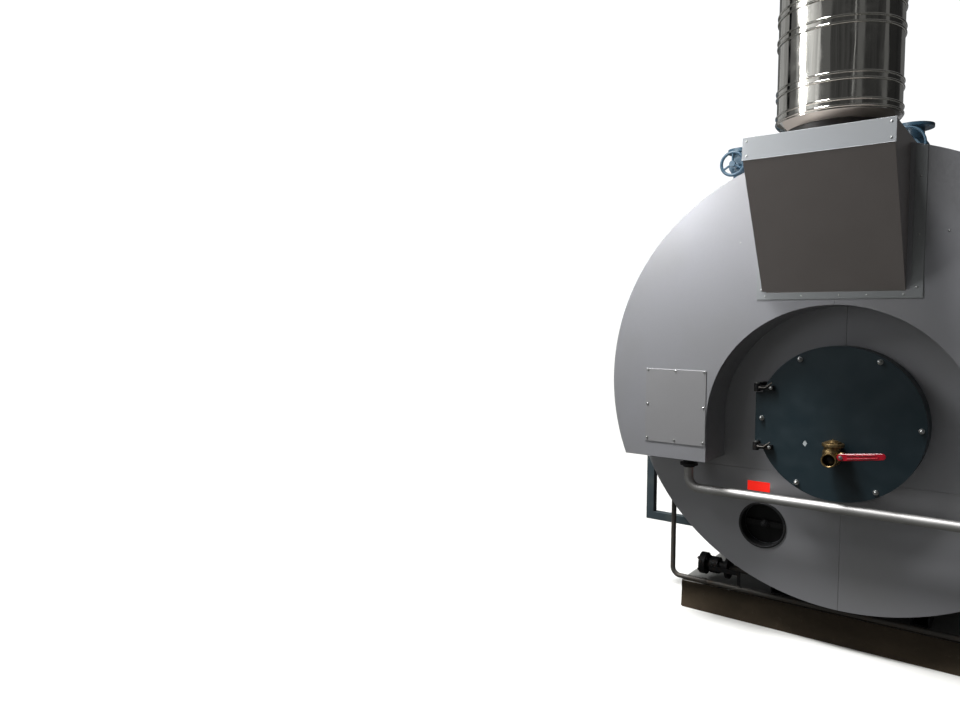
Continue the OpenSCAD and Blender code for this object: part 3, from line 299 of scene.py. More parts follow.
materials = {
    # The cover, fascia, flange and hood sheets are copies of the cladding's sheet, each with its own tint
    # and metal so that it comes out as bright as that part was lit: painted light and shade, the hood's
    # darker, warmer tint being painted shade
    "cladding_sheet": coatedSheet("coatedSheet", "#b6b7bc", "#a6a5a2", 0.65),
    "cover_sheet": coatedSheet("coverSheet", "#b6b6b8", "#a7a6a7", 0.62),
    "fascia_sheet": coatedSheet("fasciaSheet", "#c3c7cb", "#b4b6b5", 0.45),
    "flange_sheet": coatedSheet("flangeSheet", "#b2b6b8", "#a4a7a7", 0.55),
    "hood_sheet": coatedSheet("hoodSheet", "#aaa3a1", "#968f8b", 0.4),
    "polished_stainless": polishedStainless("polishedStainless"),
    "satin_stainless": brushedStainless("brushedStainless"),
    "door_paint": enamel("doorEnamel", "#192a31", "#23343b", 0.45, 0.1),
    "boiler_plate": enamel("plateEnamel", "#5b5f63", "#77726a", 0.55, 0.0),
    "base_steel": enamel("baseEnamel", "#26282b", "#4a463f", 0.55, 0.0),
    "liner_steel": blackedSteel("sootedLiner", "#2b2a29", "#3d3833"),
    "refractory": refractory("castRefractory"),
    "black_steel": blackedSteel("blackedSteel"),
    "port_steel": blackedSteel("greasySteel", "#2f3032", "#4c4a47"),
    # Near-black steel for the handhole cover and the valve's ball: painted shade deep in the inspection
    # sleeve and in the valve's bore
    "painted_port_shade": blackedSteel("shadeBlackSteel", "#141415", "#23211f"),
    "drain_tube": blackedSteel("drawnTube", "#5e5b57", "#6e5f50"),
    "zinc": zincPlate("zincPlate"),
    "brass": castBrass("castBrass"),
    "lever_paint": dippedVinyl("dippedVinyl", "#bd0d28", "#7a0a1b"),
    # the blank plate's red, with painted light as its glow
    "tag_plate": redWithPaintedGlow("redWithPaintedGlow"),
    "frame_paint": enamel("frameEnamel", "#3c474c", "#5d655f", 0.45, 0.1),
    "valve_paint": enamel("valveEnamel", "#3b5b70", "#6f8086", 0.4, 0.2),
    "concrete": agedConcrete("agedConcrete"),
    "pale_patch": enamel("palePatchEnamel", "#b9c0c2", "#8f979a", 0.5, 0.0),
}
print("materials made:", len(materials))


def at(point, facing=upward, spin=0):
    # Places millimetre shapes drawn about Z at a point in metres, turned to face a direction
    turn = Vector(facing).to_track_quat("Z", "Y").to_matrix().to_4x4()
    spun = Matrix.Rotation(math.radians(spin), 4, "Z")
    return Matrix.Translation(point) @ turn @ spun @ Matrix.Scale(mm, 4)


def polar(radius, degrees):
    # The two coordinates of a point on a circle
    turn = math.radians(degrees)
    return radius * math.cos(turn), radius * math.sin(turn)


def arc(radius, first, last, steps):
    # Points on a circle from one angle to another
    return [polar(radius, first + (last - first) * i / steps) for i in range(steps + 1)]


def turned(bm, profile, place, sides, closed=False):
    # Revolves a profile of (radius, height) points about the local Z axis; a radius of 0 makes one point
    rings = []
    for radius, height in profile:
        count = sides if radius > 0 else 1
        rings.append([bm.verts.new(place @ Vector((*polar(radius, 360 * i / sides), height)))
                      for i in range(count)])
    pairs = list(zip(rings, rings[1:])) + ([(rings[-1], rings[0])] if closed else [])
    for low, high in pairs:
        for i in range(sides):
            j = (i + 1) % sides
            corners = [low[i % len(low)], low[j % len(low)], high[j % len(high)], high[i % len(high)]]
            corners = list(dict.fromkeys(corners))
            if len(corners) > 2:
                bm.faces.new(corners)


def rounded(radius, height, soft, foot=0.0):
    # Profile of a disc or bar with a softened upper edge
    cut = 0.3 * soft  # how far the middle of the soft edge stands in from the sharp corner
    return [(0, foot), (radius, foot), (radius, height - soft), (radius - cut, height - cut),
            (radius - soft, height), (0, height)]


def ringProfile(radius, wire, steps=10):
    # Round section of a hoop or bead, for a closed profile
    section = [polar(wire, 360 * i / steps) for i in range(steps)]
    return [(radius + out, height) for out, height in section]


def block(bm, size, place, soft):
    # A bar or plate of a size in millimetres, centred on its place, with softened edges
    made = bmesh.ops.create_cube(bm, size=1, matrix=place @ Matrix.Diagonal((*size, 1)))
    edges = list({e for v in made["verts"] for e in v.link_edges})
    bmesh.ops.bevel(bm, geom=edges, offset=soft * mm, segments=2, affect="EDGES")


def bentRod(bm, points, radius, sides):
    # A round bar through points in metres
    points = [Vector(p) for p in points]
    section = [polar(radius * mm, 360 * k / sides) for k in range(sides)]
    normal, rings = None, []
    for i, point in enumerate(points):
        before, after = points[max(i - 1, 0)], points[min(i + 1, len(points) - 1)]
        along = (after - before).normalized()
        normal = along.orthogonal() if normal is None else normal - along * normal.dot(along)
        normal.normalize()
        across = along.cross(normal)
        rings.append([bm.verts.new(point + a * normal + b * across) for a, b in section])
    for low, high in zip(rings, rings[1:]):
        for k in range(sides):
            j = (k + 1) % sides
            bm.faces.new([low[k], low[j], high[j], high[k]])
    bm.faces.new(list(reversed(rings[0])))
    bm.faces.new(rings[-1])


def makePiece(name, bm, slotName, body="root", crease=34, look=None):
    # Turns a bmesh into a shown piece that rides on a body
    bmesh.ops.recalc_face_normals(bm, faces=bm.faces[:])
    mesh = bpy.data.meshes.new(name)
    bm.to_mesh(mesh)
    bm.free()
    mesh.shade_smooth()
    mesh.set_sharp_from_angle(angle=math.radians(crease))
    mesh.materials.append(materials[look or slotName])
    piece = bpy.data.objects.new(name, mesh)
    bpy.context.scene.collection.objects.link(piece)
    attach(piece, body)
    return piece


def dress(node, look):
    # Gives a CAD node its material
    piece = nodes[node]
    if not piece.material_slots:
        piece.data.materials.append(materials[look])
    for slot in piece.material_slots:
        slot.material = materials[look]


# Which material each CAD node shows: its slot's own, apart from these
slots = {entry["node"]: entry["material_slot"] for entry in frame["record"]["subparts"]}
looks = dict(slots)
looks.update({
    "cleaning_covers": "cover_sheet",
    "hood_body": "hood_sheet",
    "hood_flange": "flange_sheet",
    "hood_fascia": "fascia_sheet",
    "door_plug": "refractory",
    # the handhole cover near-black, as painted shade in its sleeve
    "handhole_cover": "painted_port_shade",
    "pipe_sockets": "port_steel",
})
for nodeName in nodes:
    dress(nodeName, looks[nodeName])
print("nodes dressed:", len(nodes))


# Small fasteners, drawn as (radius, height) profiles: screws, rivets and cap nuts in millimetres, and a hex
# nut in shares of the half width over its flats
hardware = {
    "screwWasher": [(0, 0), (6.4, 0), (6.4, 0.9), (5.2, 1.5), (0, 1.5)],
    "screwHead": [(0, 1.5), (4.4, 1.5), (4.4, 4.5), (3.5, 5.2), (0, 5.2)],
    "rivetHead": [(0, 0), (4.6, 0), (4.14, 0.9), (2.76, 1.6), (1.38, 1.9), (1.012, 1.4), (0, 1.4)],
    "capFlat": 9.4,
    "capWasher": 2.6,
    "capShoulder": 12,
    "capTop": 13.4,
    "domeFoot": 12.6,
    "corner": 1.08,  # from the flats to the corners, with the chamfer off
    "nutWasher": rounded(1.35, 0.22, 0.06),
    "nutHead": [(0, 0.2), (0.98, 0.2), (1.08, 0.32), (1.08, 0.98), (0.95, 1.1), (0, 1.1)],
    "nutTop": 1.1,
}


def sheetScrew(bm, point, facing, spin):
    # Self-drilling screw: washer face and small hex head
    turned(bm, hardware["screwWasher"], at(point, facing), sides=20)
    turned(bm, hardware["screwHead"], at(point, facing, spin), sides=6)


def popRivet(bm, point):
    # Blind rivet in a front face: low dome with a dimple where the mandrel broke off
    turned(bm, hardware["rivetHead"], at(point, towardFront), sides=18)


def capNut(bm, point, facing, spin, flat=hardware["capFlat"]):
    # Domed cap nut on its washer
    washer, shoulder, top, foot = (hardware[k] for k in ("capWasher", "capShoulder", "capTop", "domeFoot"))
    corner, domeWidth, domeHeight = flat * hardware["corner"], flat * 0.9, flat * 0.8
    turned(bm, rounded(flat * 1.32, washer, 0.8), at(point, facing), sides=28)
    turned(bm, [(0, washer), (corner, washer), (corner, shoulder), (domeWidth, top), (0, top)],
           at(point, facing, spin), sides=6)
    dome = [(domeWidth * out, foot + domeHeight * rise) for out, rise in arc(1, 0, 75, steps=5)]
    turned(bm, [(0, foot)] + dome + [(0, foot + domeHeight)], at(point, facing), sides=24)


def hexNut(bm, point, facing, flat, spin, stud=0.45):
    # Plain hex nut on a washer, with the end of its stud
    studEnd = rounded(0.5, hardware["nutTop"] + stud, 0.1, hardware["nutTop"] - 0.05)
    for shares, turn, sides in ((hardware["nutWasher"], 0, 24), (hardware["nutHead"], spin, 6),
                                (studEnd, 0, 16)):
        profile = [(flat * radius, flat * height) for radius, height in shares]
        turned(bm, profile, at(point, facing, turn), sides)


# Screwed cleaning covers: one to a leg, with eight screws each, set in from the sheet's edges
coverSettings = {"width": 0.325, "side": 0.011, "top": 0.007, "bottom": 0.017, "spinStep": 17}


def coverScrews():
    low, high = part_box("cleaning_covers")
    inset, width = coverSettings["side"], coverSettings["width"]
    outer, inner = high.x - inset, high.x - width + inset
    bottom, top = low.z + coverSettings["bottom"], high.z - coverSettings["top"]
    spots = [(x, z) for x in (outer, (outer + inner) / 2, inner) for z in (bottom, top)]
    spots += [(x, (bottom + top) / 2) for x in (outer, inner)]
    bm = bmesh.new()
    for side in (-1, 1):
        for i, (x, z) in enumerate(spots):
            sheetScrew(bm, (side * x, low.y, z), towardFront, coverSettings["spinStep"] * i)
    makePiece("coverScrews", bm, "zinc")


# The hood as it was folded: a little left of the boiler's middle, narrower at the right and lower at the top
hangSettings = {"left": 0.020, "drop": 0.016}


def hungHood():
    low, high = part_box("hood_fascia")
    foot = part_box("hood_flange")[0].z
    for node in ("hood_body", "hood_fascia"):
        bm = bmesh.new()
        bm.from_mesh(nodes[node].data)
        bm.transform(nodes[node].matrix_world)
        for v in bm.verts:
            height = (v.co.z - foot) / (high.z - foot)
            across = (v.co.x - low.x) / (high.x - low.x)
            v.co.x -= hangSettings["left"] * ((1 - height) + height * across)
            v.co.z -= hangSettings["drop"] * max(0, (v.co.z - low.z) / (high.z - low.z))
        piece = makePiece("hung_" + node, bm, slots[node], look=looks[node])
        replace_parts(piece, node)


# Rivets: a row under the hood, some up its flange's sides, the fascia's corners and two high on the plates
hoodSettings = {
    "row": [-0.306, -0.141, 0.019, 0.131, 0.274],
    "rowRise": 0.015,
    "sideInset": 0.022,
    "sideShares": (0.07, 0.42, 0.8),
    "fasciaInset": 0.017,
    "plateSpots": ((-0.43, 2.012), (0.43, 2.012)),
}


def hoodFasteners():
    given = hoodSettings
    low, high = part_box("hood_flange")
    bm = bmesh.new()
    for x in given["row"]:
        popRivet(bm, (x, low.y, low.z + given["rowRise"]))
    for x in (given["sideInset"] - high.x, high.x - given["sideInset"]):
        for share in given["sideShares"]:
            popRivet(bm, (x, low.y, low.z + share * (high.z - low.z)))
    low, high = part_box("hood_fascia")
    inset = given["fasciaInset"]
    for x in (low.x + inset, high.x - hangSettings["left"] - inset):
        for z in (low.z + inset, high.z - hangSettings["drop"] - inset):
            popRivet(bm, (x, low.y, z))
    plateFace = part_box("collector_front_left")[0].y
    for x, z in given["plateSpots"]:
        popRivet(bm, (x, plateFace, z))
    makePiece("hoodFasteners", bm, "zinc")


# Locking bands of the twin-wall flue, in millimetres: a flat strap with a rolled bead at each edge, and on
# two of them a toggle behind
bandSettings = {
    "levels": (18, 127, 352, 461),  # above the jacket's foot
    "bead": 5.4,
    "beadLevels": (-13.5, 13.5),
    "beadOut": 0.15,  # how far its centre stands out of the jacket, as a share of its radius
    "strap": 1.2,
    "strapHalf": 10,
    "gap": 0.1,  # between band and jacket
    "toggleLevels": (127, 461),
    "toggleAngle": 118,
    "toggleOut": 9,
    "togglePlate": (34, 62, 10),
    "toggleClaw": (16, 40, 14),
    "clawOut": 4,
    "toggleSoft": 2,
    "sides": 128,
}


def lockingBands():
    given = bandSettings
    low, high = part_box("flue_jacket")
    axis = (low + high) / 2
    radius = (high.x - low.x) / 2 / mm
    bead, sides, inner = given["bead"], given["sides"], radius + given["gap"]
    outer, half = radius + given["strap"], given["strapHalf"]
    bm = bmesh.new()
    for level in given["levels"]:
        place = at((axis.x, axis.y, low.z + level * mm))
        for end in given["beadLevels"]:
            roll = [(radius + bead * given["beadOut"] + out, end + rise)
                    for out, rise in arc(bead, -90, 90, steps=8)]
            turned(bm, [(inner, end - bead)] + roll + [(inner, end + bead)], place, sides, closed=True)
        strap = [(inner, -half), (outer, -half), (outer, half), (inner, half)]
        turned(bm, strap, place, sides, closed=True)
    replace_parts(makePiece("lockingBands", bm, "polished_stainless"), "flue_bands")
    toggles = bmesh.new()
    out = Vector((*polar(1, given["toggleAngle"]), 0))
    reach, soft = (radius + given["toggleOut"]) * mm, given["toggleSoft"]
    for level in given["toggleLevels"]:
        spot = Vector((axis.x, axis.y, low.z + level * mm)) + out * reach
        block(toggles, given["togglePlate"], at(spot, out), soft)
        block(toggles, given["toggleClaw"], at(spot + out * given["clawOut"] * mm, out), soft)
    makePiece("bandToggles", toggles, "polished_stainless")


# Furnace door: cap nuts on a circle, the rope seal behind the plate and a small pale patch on its face
doorSettings = {
    "nuts": 6,
    "nutInset": 0.023,
    "spinStep": 9,
    "ropeInset": 0.03,  # in from the collar's edge
    "rope": 5.5,
    "ropeSink": 1.2,
    "patchPlace": (-0.139, 1.046),
    "patchProud": 0.4,
    "patch": [(0, 15), (6, 8), (10, 1), (5, -7), (1, -15), (-5, -9), (-10, -1), (-6, 8)],  # outline
}


def doorBolts():
    given = doorSettings
    low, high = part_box("door_plate")
    centreZ = (low.z + high.z) / 2
    bm = bmesh.new()
    for i in range(given["nuts"]):
        x, rise = polar(high.x - given["nutInset"], 360 * i / given["nuts"])
        capNut(bm, (x, low.y, centreZ + rise), towardFront, given["spinStep"] * i)
    makePiece("doorCapNuts", bm, "zinc", "door")
    seal = bmesh.new()
    ropeCircle = (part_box("door_collar")[1].x - given["ropeInset"]) / mm
    turned(seal, ringProfile(ropeCircle, given["rope"]),
           at((0, high.y - given["ropeSink"] * mm, centreZ), towardBack), sides=96, closed=True)
    makePiece("ropeSeal", seal, "refractory", "door")
    patch = bmesh.new()
    x, z = given["patchPlace"]
    face = low.y - given["patchProud"] * mm
    patchCorners = [patch.verts.new(Vector((x + a * mm, face, z + b * mm))) for a, b in given["patch"]]
    patch.faces.new(patchCorners)
    makePiece("palePatch", patch, "zinc", "door", look="pale_patch")


# Bolts of the hinge arms, and the bent bar that locks each of them; millimetres apart from the bar's path
hingeSettings = {
    "eyeHalf": 11,  # half an eye's height
    "eyeDepth": 7,  # from the eyes' front to the bolts' seat
    "boltInset": 10,
    "bolt": 6.2,
    "barDepth": 3,
    "barRadius": 3.3,
    "barPath": [(-0.355, 0.0), (-0.325, 0.0), (-0.293, 0.026)],  # X, and the rise above the eye's middle
    "barFoot": rounded(6.5, 4, 1.5),
}


def hingeDetails():
    given = hingeSettings
    low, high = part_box("door_hinge_eyes")
    seat = low.y + given["eyeDepth"] * mm
    half = given["eyeHalf"] * mm
    boltX = high.x - given["boltInset"] * mm
    barY = seat - given["barDepth"] * mm
    bolts, bars = bmesh.new(), bmesh.new()
    for z in (low.z + half, high.z - half):
        hexNut(bolts, (boltX, seat, z), towardFront, given["bolt"], spin=12, stud=0.3)
        path = [(x, barY, z + rise) for x, rise in given["barPath"]]
        bentRod(bars, path, given["barRadius"], sides=12)
        turned(bars, given["barFoot"], at((path[0][0], seat, z), towardFront), sides=18)
    makePiece("hingeBolts", bolts, "zinc", "door")
    makePiece("hingeBars", bars, "zinc", "door", look="drain_tube")


# Brass valve on the door, in millimetres. Its port faces the front and its cap points up. The mouth and the
# tail are profiles along the port's axis, and the barrel is one about the upright axis.
valveSettings = {
    "portX": -10,
    "portRise": 34,  # above the foot of the solid's body
    "reach": 99.7,  # from the door to the port's face
    "bodyDepth": 50,  # from the port's face to the barrel's axis
    "mouth": [(27, 60), (27, 1.5), (28.5, 0), (33, 0), (34, 1.5), (34, 15), (31, 18), (31, 60)],
    "tail": [(0, 58), (31, 58), (31, 60), (27, 78), (22, 84), (22, 99.5), (0, 99.5)],
    "barrel": [(0, -30), (16, -29), (32, -20), (41, -4), (42.5, 14), (41, 36), (37, 46), (36, 54),
               (41, 58), (41, 61)],
    "barrelShift": 4,
    "barrelSteps": 5,
    "portCut": 29,  # radius of the port's opening in the barrel
    "capShift": 8,
    "cap": rounded(48.5, 76, 3.5, 61),
    "capHex": rounded(36, 83, 2, 75),
    "capBoss": rounded(21, 88, 2, 82),
    "capPin": rounded(2.0, 95, 0.8, 86),
    "pinShift": 6,
    "stemX": 43,
    "stemRise": 22,  # above the port
    "stemDepth": 13.5,
    "stem": [(7, 0), (14, 0), (15, 3), (15, 12), (19, 16), (19, 42), (7, 42)],
    "stemArm": rounded(15, 52, 3),
    "ball": [(0, 20), (12, 22), (21, 28), (26.8, 40), (26.8, 44), (0, 44)],
}


def brassValve():
    given = valveSettings
    low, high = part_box("valve_body")
    port = Vector((given["portX"] * mm, high.y - given["reach"] * mm, low.z + given["portRise"] * mm))
    body = port + Vector((0, given["bodyDepth"] * mm, 0))
    bm = bmesh.new()
    turned(bm, given["mouth"], at(port, towardBack), sides=48, closed=True)
    turned(bm, given["tail"], at(port, towardBack), sides=40)

    corners, steps = given["barrel"], given["barrelSteps"]
    skin = [(a + (c - a) * k / steps, b + (d - b) * k / steps)
            for (a, b), (c, d) in zip(corners, corners[1:]) for k in range(steps)]
    barrel = bmesh.new()
    turned(barrel, skin + [corners[-1], (0, corners[-1][1])],
           at(body + Vector((given["barrelShift"] * mm, 0, 0))), sides=112)
    middles = {face: face.calc_center_median() for face in barrel.faces}
    inPort = [face for face, spot in middles.items() if spot.y < body.y
              and math.hypot(spot.x - port.x, spot.z - port.z) < given["portCut"] * mm]
    bmesh.ops.delete(barrel, geom=inPort, context="FACES")
    makePiece("brassValveBarrel", barrel, "brass", "door")

    capAxis = body + Vector((given["capShift"] * mm, 0, 0))
    turned(bm, given["cap"], at(capAxis), sides=48)
    turned(bm, given["capHex"], at(capAxis, spin=12), sides=6)
    turned(bm, given["capBoss"], at(capAxis), sides=30)
    stemZ = port.z + given["stemRise"] * mm
    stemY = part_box("valve_lever")[0].y + given["stemDepth"] * mm
    turned(bm, given["stem"], at((given["stemX"] * mm, stemY, stemZ), towardBack), sides=30, closed=True)
    turned(bm, given["stemArm"], at((body.x, body.y, stemZ), towardRight), sides=30)
    pinAxis = body + Vector((given["pinShift"] * mm, 0, 0))
    turned(bm, given["capPin"], at(pinAxis), sides=10)
    # The ball deep in the bore is near-black, which is painted shade
    ball = bmesh.new()
    turned(ball, given["ball"], at(port, towardBack), sides=32)
    makePiece("valveBall", ball, "brass", "door", look="painted_port_shade")
    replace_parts(makePiece("brassValveBody", bm, "brass", "door"), "valve_body")


# Lever of the door valve, in millimetres: a flat bar with round ends, a rolled rib round its face and a nut
leverSettings = {
    "rise": 7.5,  # degrees that it points up
    "length": 184,  # from the stem's axis to the tip
    "tip": 14.5,
    "hub": 16.5,
    "arcSteps": 12,
    "depth": 109.7,  # from the door to the lever's face
    "back": 5.0,
    "faceRings": [(1.2, 0.0), (0.0, 1.4), (0.0, 3.0)],  # depth, and how far in from the outline
    "rib": 1.7,
    "ribDepth": -0.6,
    "ribStart": 26,
    "ribStep": 4,
    "ribPoints": 30,
    "ribHalf": 7.4,
    "ribTaper": 0.02,  # at each point
    "tipArcX": 146,  # where the rib turns round the tip
    "tipArc": (8, 7.0),  # how far it bulges there, and its half width
    "nut": 6.6,
    "pin": rounded(6, 46, 1),
}


def leverOutline(length):
    # The bar's outline about the stem: round the tip, then round the hub
    steps = leverSettings["arcSteps"]
    tip = arc(leverSettings["tip"], -90, 90, steps)
    return [(length + x, z) for x, z in tip] + arc(leverSettings["hub"], 90, 270, steps)


def valveLever():
    given = leverSettings
    low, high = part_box("valve_body")
    stemZ = low.z + (valveSettings["portRise"] + valveSettings["stemRise"]) * mm
    centre = (valveSettings["stemX"] * mm, high.y - given["depth"] * mm, stemZ)
    tilt = Matrix.Rotation(math.radians(-given["rise"]), 4, "Y")
    place = Matrix.Translation(centre) @ tilt @ Matrix.Scale(mm, 4)
    length = given["length"] - given["tip"]
    outline = leverOutline(length)
    bm = bmesh.new()
    rings = [[bm.verts.new(place @ Vector((x, given["back"], z))) for x, z in outline]]
    for depth, shrink in given["faceRings"]:
        ring = []
        for x, z in outline:
            out = Vector((x - min(max(x, 0), length), z)).normalized() * shrink
            ring.append(bm.verts.new(place @ Vector((x - out.x, depth, z - out.y))))
        rings.append(ring)
    for first, second in zip(rings, rings[1:]):
        for i in range(len(outline)):
            j = (i + 1) % len(outline)
            bm.faces.new([first[i], first[j], second[j], second[i]])
    bm.faces.new(rings[-1])
    bm.faces.new(list(reversed(rings[0])))

    ribDepth, half, taper = (given[k] for k in ("ribDepth", "ribHalf", "ribTaper"))
    for side in (-1, 1):
        rib = [place @ Vector((given["ribStart"] + given["ribStep"] * k, ribDepth,
                               side * (half - taper * k))) for k in range(given["ribPoints"])]
        bentRod(bm, rib, given["rib"], sides=8)
    bulge, tipHalf = given["tipArc"]
    roundTip = [place @ Vector((given["tipArcX"] + bulge * out, ribDepth, -tipHalf * down))
                for down, out in arc(1, 0, 180, steps=10)]
    bentRod(bm, roundTip, given["rib"], sides=8)
    piece = makePiece("redLever", bm, "lever_paint", "lever")

    hubParts = bmesh.new()
    hexNut(hubParts, centre, towardFront, given["nut"], spin=20, stud=0.35)
    turned(hubParts, given["pin"], at(centre, towardBack), sides=20)
    makePiece("leverNut", hubParts, "zinc", "lever")
    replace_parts(piece, "valve_lever")


# Blank red plate on the end wall, in metres apart from its thickness and its soft edge
tagSettings = {"left": -0.450, "right": -0.337, "bottom": 0.7525, "top": 0.802, "thick": 1.2, "soft": 0.4}


def redPlate():
    given = tagSettings
    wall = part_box("end_panel_lower_left")[0].y
    thick = given["thick"]
    width = (given["right"] - given["left"]) / mm
    height = (given["top"] - given["bottom"]) / mm
    centre = ((given["left"] + given["right"]) / 2, wall - thick / 2 * mm,
              (given["bottom"] + given["top"]) / 2)
    bm = bmesh.new()
    block(bm, (width, thick, height), Matrix.Translation(centre) @ Matrix.Scale(mm, 4), given["soft"])
    makePiece("redPlate", bm, "lever_paint", look="tag_plate")


# Rolled lip of the inspection sleeve and the nut of its bridge, in millimetres
inspectionSettings = {"lipInset": 6.4, "lip": 5.4, "lipDepth": 3, "nut": 13, "nutDepth": 4}


def inspectionDetails():
    given = inspectionSettings
    low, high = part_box("inspection_port")
    centreX, centreZ = (low.x + high.x) / 2, (low.z + high.z) / 2
    radius = (high.x - low.x) / 2 / mm
    bm = bmesh.new()
    turned(bm, ringProfile(radius - given["lipInset"], given["lip"], steps=12),
           at((centreX, low.y + given["lipDepth"] * mm, centreZ), towardFront),
           sides=72, closed=True)
    makePiece("inspectionLip", bm, "port_steel")
    nut = bmesh.new()
    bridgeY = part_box("handhole_cover")[0].y + given["nutDepth"] * mm
    hexNut(nut, (centreX, bridgeY, centreZ), towardFront, given["nut"], spin=8)
    makePiece("inspectionNut", nut, "port_steel")


# Weld beads at both ends of the crossing pipe's bends
pipeSettings = {"bend": 0.060, "bead": 1.6}


def pipeWelds():
    low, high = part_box("crossing_pipe")
    radius = (high.y - low.y) / 2
    axisY, axisZ = (low.y + high.y) / 2, low.z + radius
    upright = high.x - radius
    straight = upright - pipeSettings["bend"]
    bead = ringProfile(radius / mm, pipeSettings["bead"], steps=8)
    bm = bmesh.new()
    for side in (-1, 1):
        turned(bm, bead, at((side * straight, axisY, axisZ), towardRight), sides=40, closed=True)
        turned(bm, bead, at((side * upright, axisY, axisZ + pipeSettings["bend"])), sides=40, closed=True)
    makePiece("pipeWelds", bm, "satin_stainless")


# Nuts on both faces of the blow-down valve's flanges, in millimetres
blowSettings = {"radius": 60, "circle": 45, "pair": 33, "nuts": 4, "nut": 8.5, "spinStep": 10}


def blowdownDetails():
    given = blowSettings
    low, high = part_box("blowdown_valve")
    axisZ, axisY = high.z - given["radius"] * mm, high.y - given["radius"] * mm
    bm = bmesh.new()
    for i in range(given["nuts"]):
        out, rise = polar(given["circle"] * mm, 45 + 360 * i / given["nuts"])
        y, z = axisY + out, axisZ + rise
        hexNut(bm, (low.x, y, z), towardLeft, given["nut"], given["spinStep"] * i)
        hexNut(bm, (low.x + given["pair"] * mm, y, z), towardRight, given["nut"], spin=20)
    makePiece("blowdownNuts", bm, "black_steel")


# Lap joints along the cladding with their screws; millimetres apart from the pitch
seamSettings = {
    "angles": (-28, 208),  # degrees round from the right
    "hoop": 4,  # how far the cladding's hoops stand out of it
    "pitch": 0.16,
    "strap": (34, 1.6, 0.5),  # width, thickness and soft edge
    "strapShort": 20,
    "strapLift": 0.3,
    "screwLift": 1.0,
    "spinStep": 13,
}


def claddingSeams():
    given = seamSettings
    low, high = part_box("cladding")
    axisZ = (low.z + high.z) / 2
    radius = high.x - given["hoop"] * mm
    length = high.y - low.y
    count = int(length / given["pitch"])
    width, thick, soft = given["strap"]
    straps, screws = bmesh.new(), bmesh.new()
    for angle in given["angles"]:
        x, z = polar(1, angle)
        out = Vector((x, 0, z))
        axis = Vector((0, (low.y + high.y) / 2, axisZ))
        block(straps, (length / mm - given["strapShort"], width, thick),
              at(axis + out * (radius + given["strapLift"] * mm), out), soft)
        for i in range(count):
            axis.y = low.y + (i + 0.5) * length / count
            spot = axis + out * (radius + given["screwLift"] * mm)
            sheetScrew(screws, spot, out, given["spinStep"] * i)
    makePiece("lapStraps", straps, "cladding_sheet")
    makePiece("lapScrews", screws, "zinc")


def nutCircle(bm, centre, circle, count, size, spinStep, start=0.0):
    # Hex nuts that stand on a level flange
    for i in range(count):
        x, y = polar(circle, start + 360 * i / count)
        hexNut(bm, (centre[0] + x, centre[1] + y, centre[2]), upward, size, spinStep * i)


# Nuts of the crown's two flanges and of the manhole: metres, apart from a nut's half width in millimetres
crownSettings = {
    "steam": {"rim": 0.125, "circle": 0.105, "nuts": 8, "size": 11},
    "shoulder": {"rim": 0.075, "circle": 0.060, "nuts": 4, "size": 8},
    "flange": 0.020,  # thickness of the valves' lower flanges
    "gasket": 0.0003,
    "spinStep": 9,
    "manholeInset": 0.024,
    "manholeNuts": 16,
    "manholeNut": 11,
    "manholeSpin": 7,
}


def crownDetails():
    given = crownSettings
    steam, shoulder, flange = (given[k] for k in ("steam", "shoulder", "flange"))
    nozzleLow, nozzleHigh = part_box("crown_nozzles")
    valveLow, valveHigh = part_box("crown_valves")
    spots = [
        (steam, (valveHigh.x - steam["rim"], valveHigh.y - steam["rim"],
                 nozzleHigh.z + given["gasket"] + flange)),
        (shoulder, (nozzleLow.x + shoulder["rim"], nozzleLow.y + shoulder["rim"], valveLow.z + flange)),
    ]
    nuts = bmesh.new()
    for kind, centre in spots:
        nutCircle(nuts, centre, kind["circle"], kind["nuts"], kind["size"], given["spinStep"],
                  180 / kind["nuts"])
    low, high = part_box("manhole")
    nutCircle(nuts, ((low.x + high.x) / 2, (low.y + high.y) / 2, high.z),
              high.x - given["manholeInset"], given["manholeNuts"], given["manholeNut"],
              given["manholeSpin"])
    makePiece("crownNuts", nuts, "zinc")


# Burner end: nuts round the burner plate, and cap nuts on the turning doors' rim
burnerSettings = {
    "plateInset": 0.025,
    "plateNuts": 12,
    "plateNut": 9,
    "plateSpin": 5,
    "doorInset": 0.04,
    "doorNuts": 15,
    "doorNut": 9,
    "doorArc": (-14, 194),
    "doorSpin": 9,
}


def burnerDetails():
    given = burnerSettings
    low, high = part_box("burner_plate")
    count = given["plateNuts"]
    bm = bmesh.new()
    for i in range(count):
        x, rise = polar(high.x - given["plateInset"], 360 * (i + 0.5) / count)
        spot = (x, high.y, (low.z + high.z) / 2 + rise)
        hexNut(bm, spot, towardBack, given["plateNut"], given["plateSpin"] * i)
    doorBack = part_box("turning_doors")[1].y
    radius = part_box("turning_doors")[1].x - given["doorInset"]
    axisZ = sum(corner.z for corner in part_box("cladding")) / 2
    first, last = given["doorArc"]
    for i in range(given["doorNuts"]):
        x, rise = polar(radius, first + (last - first) * i / (given["doorNuts"] - 1))
        spot = (x, doorBack, axisZ + rise)
        capNut(bm, spot, towardBack, given["doorSpin"] * i, given["doorNut"])
    makePiece("burnerEndNuts", bm, "zinc")


# Plinth: rough cast faces round the CAD block, in metres
plinthSettings = {
    "rough": 0.0035,  # deepest hollow
    "bevel": 0.011,
    "cuts": (34, 76, 4),  # along X, Y and Z
    "coarse": 9,  # waves a metre of the two noises
    "fine": 31,
    "fineShare": 0.35,
    "rim": 0.02,  # how near to a face a point is pushed in with it
    "topShare": 0.6,
    "hair": 1e-4,
}


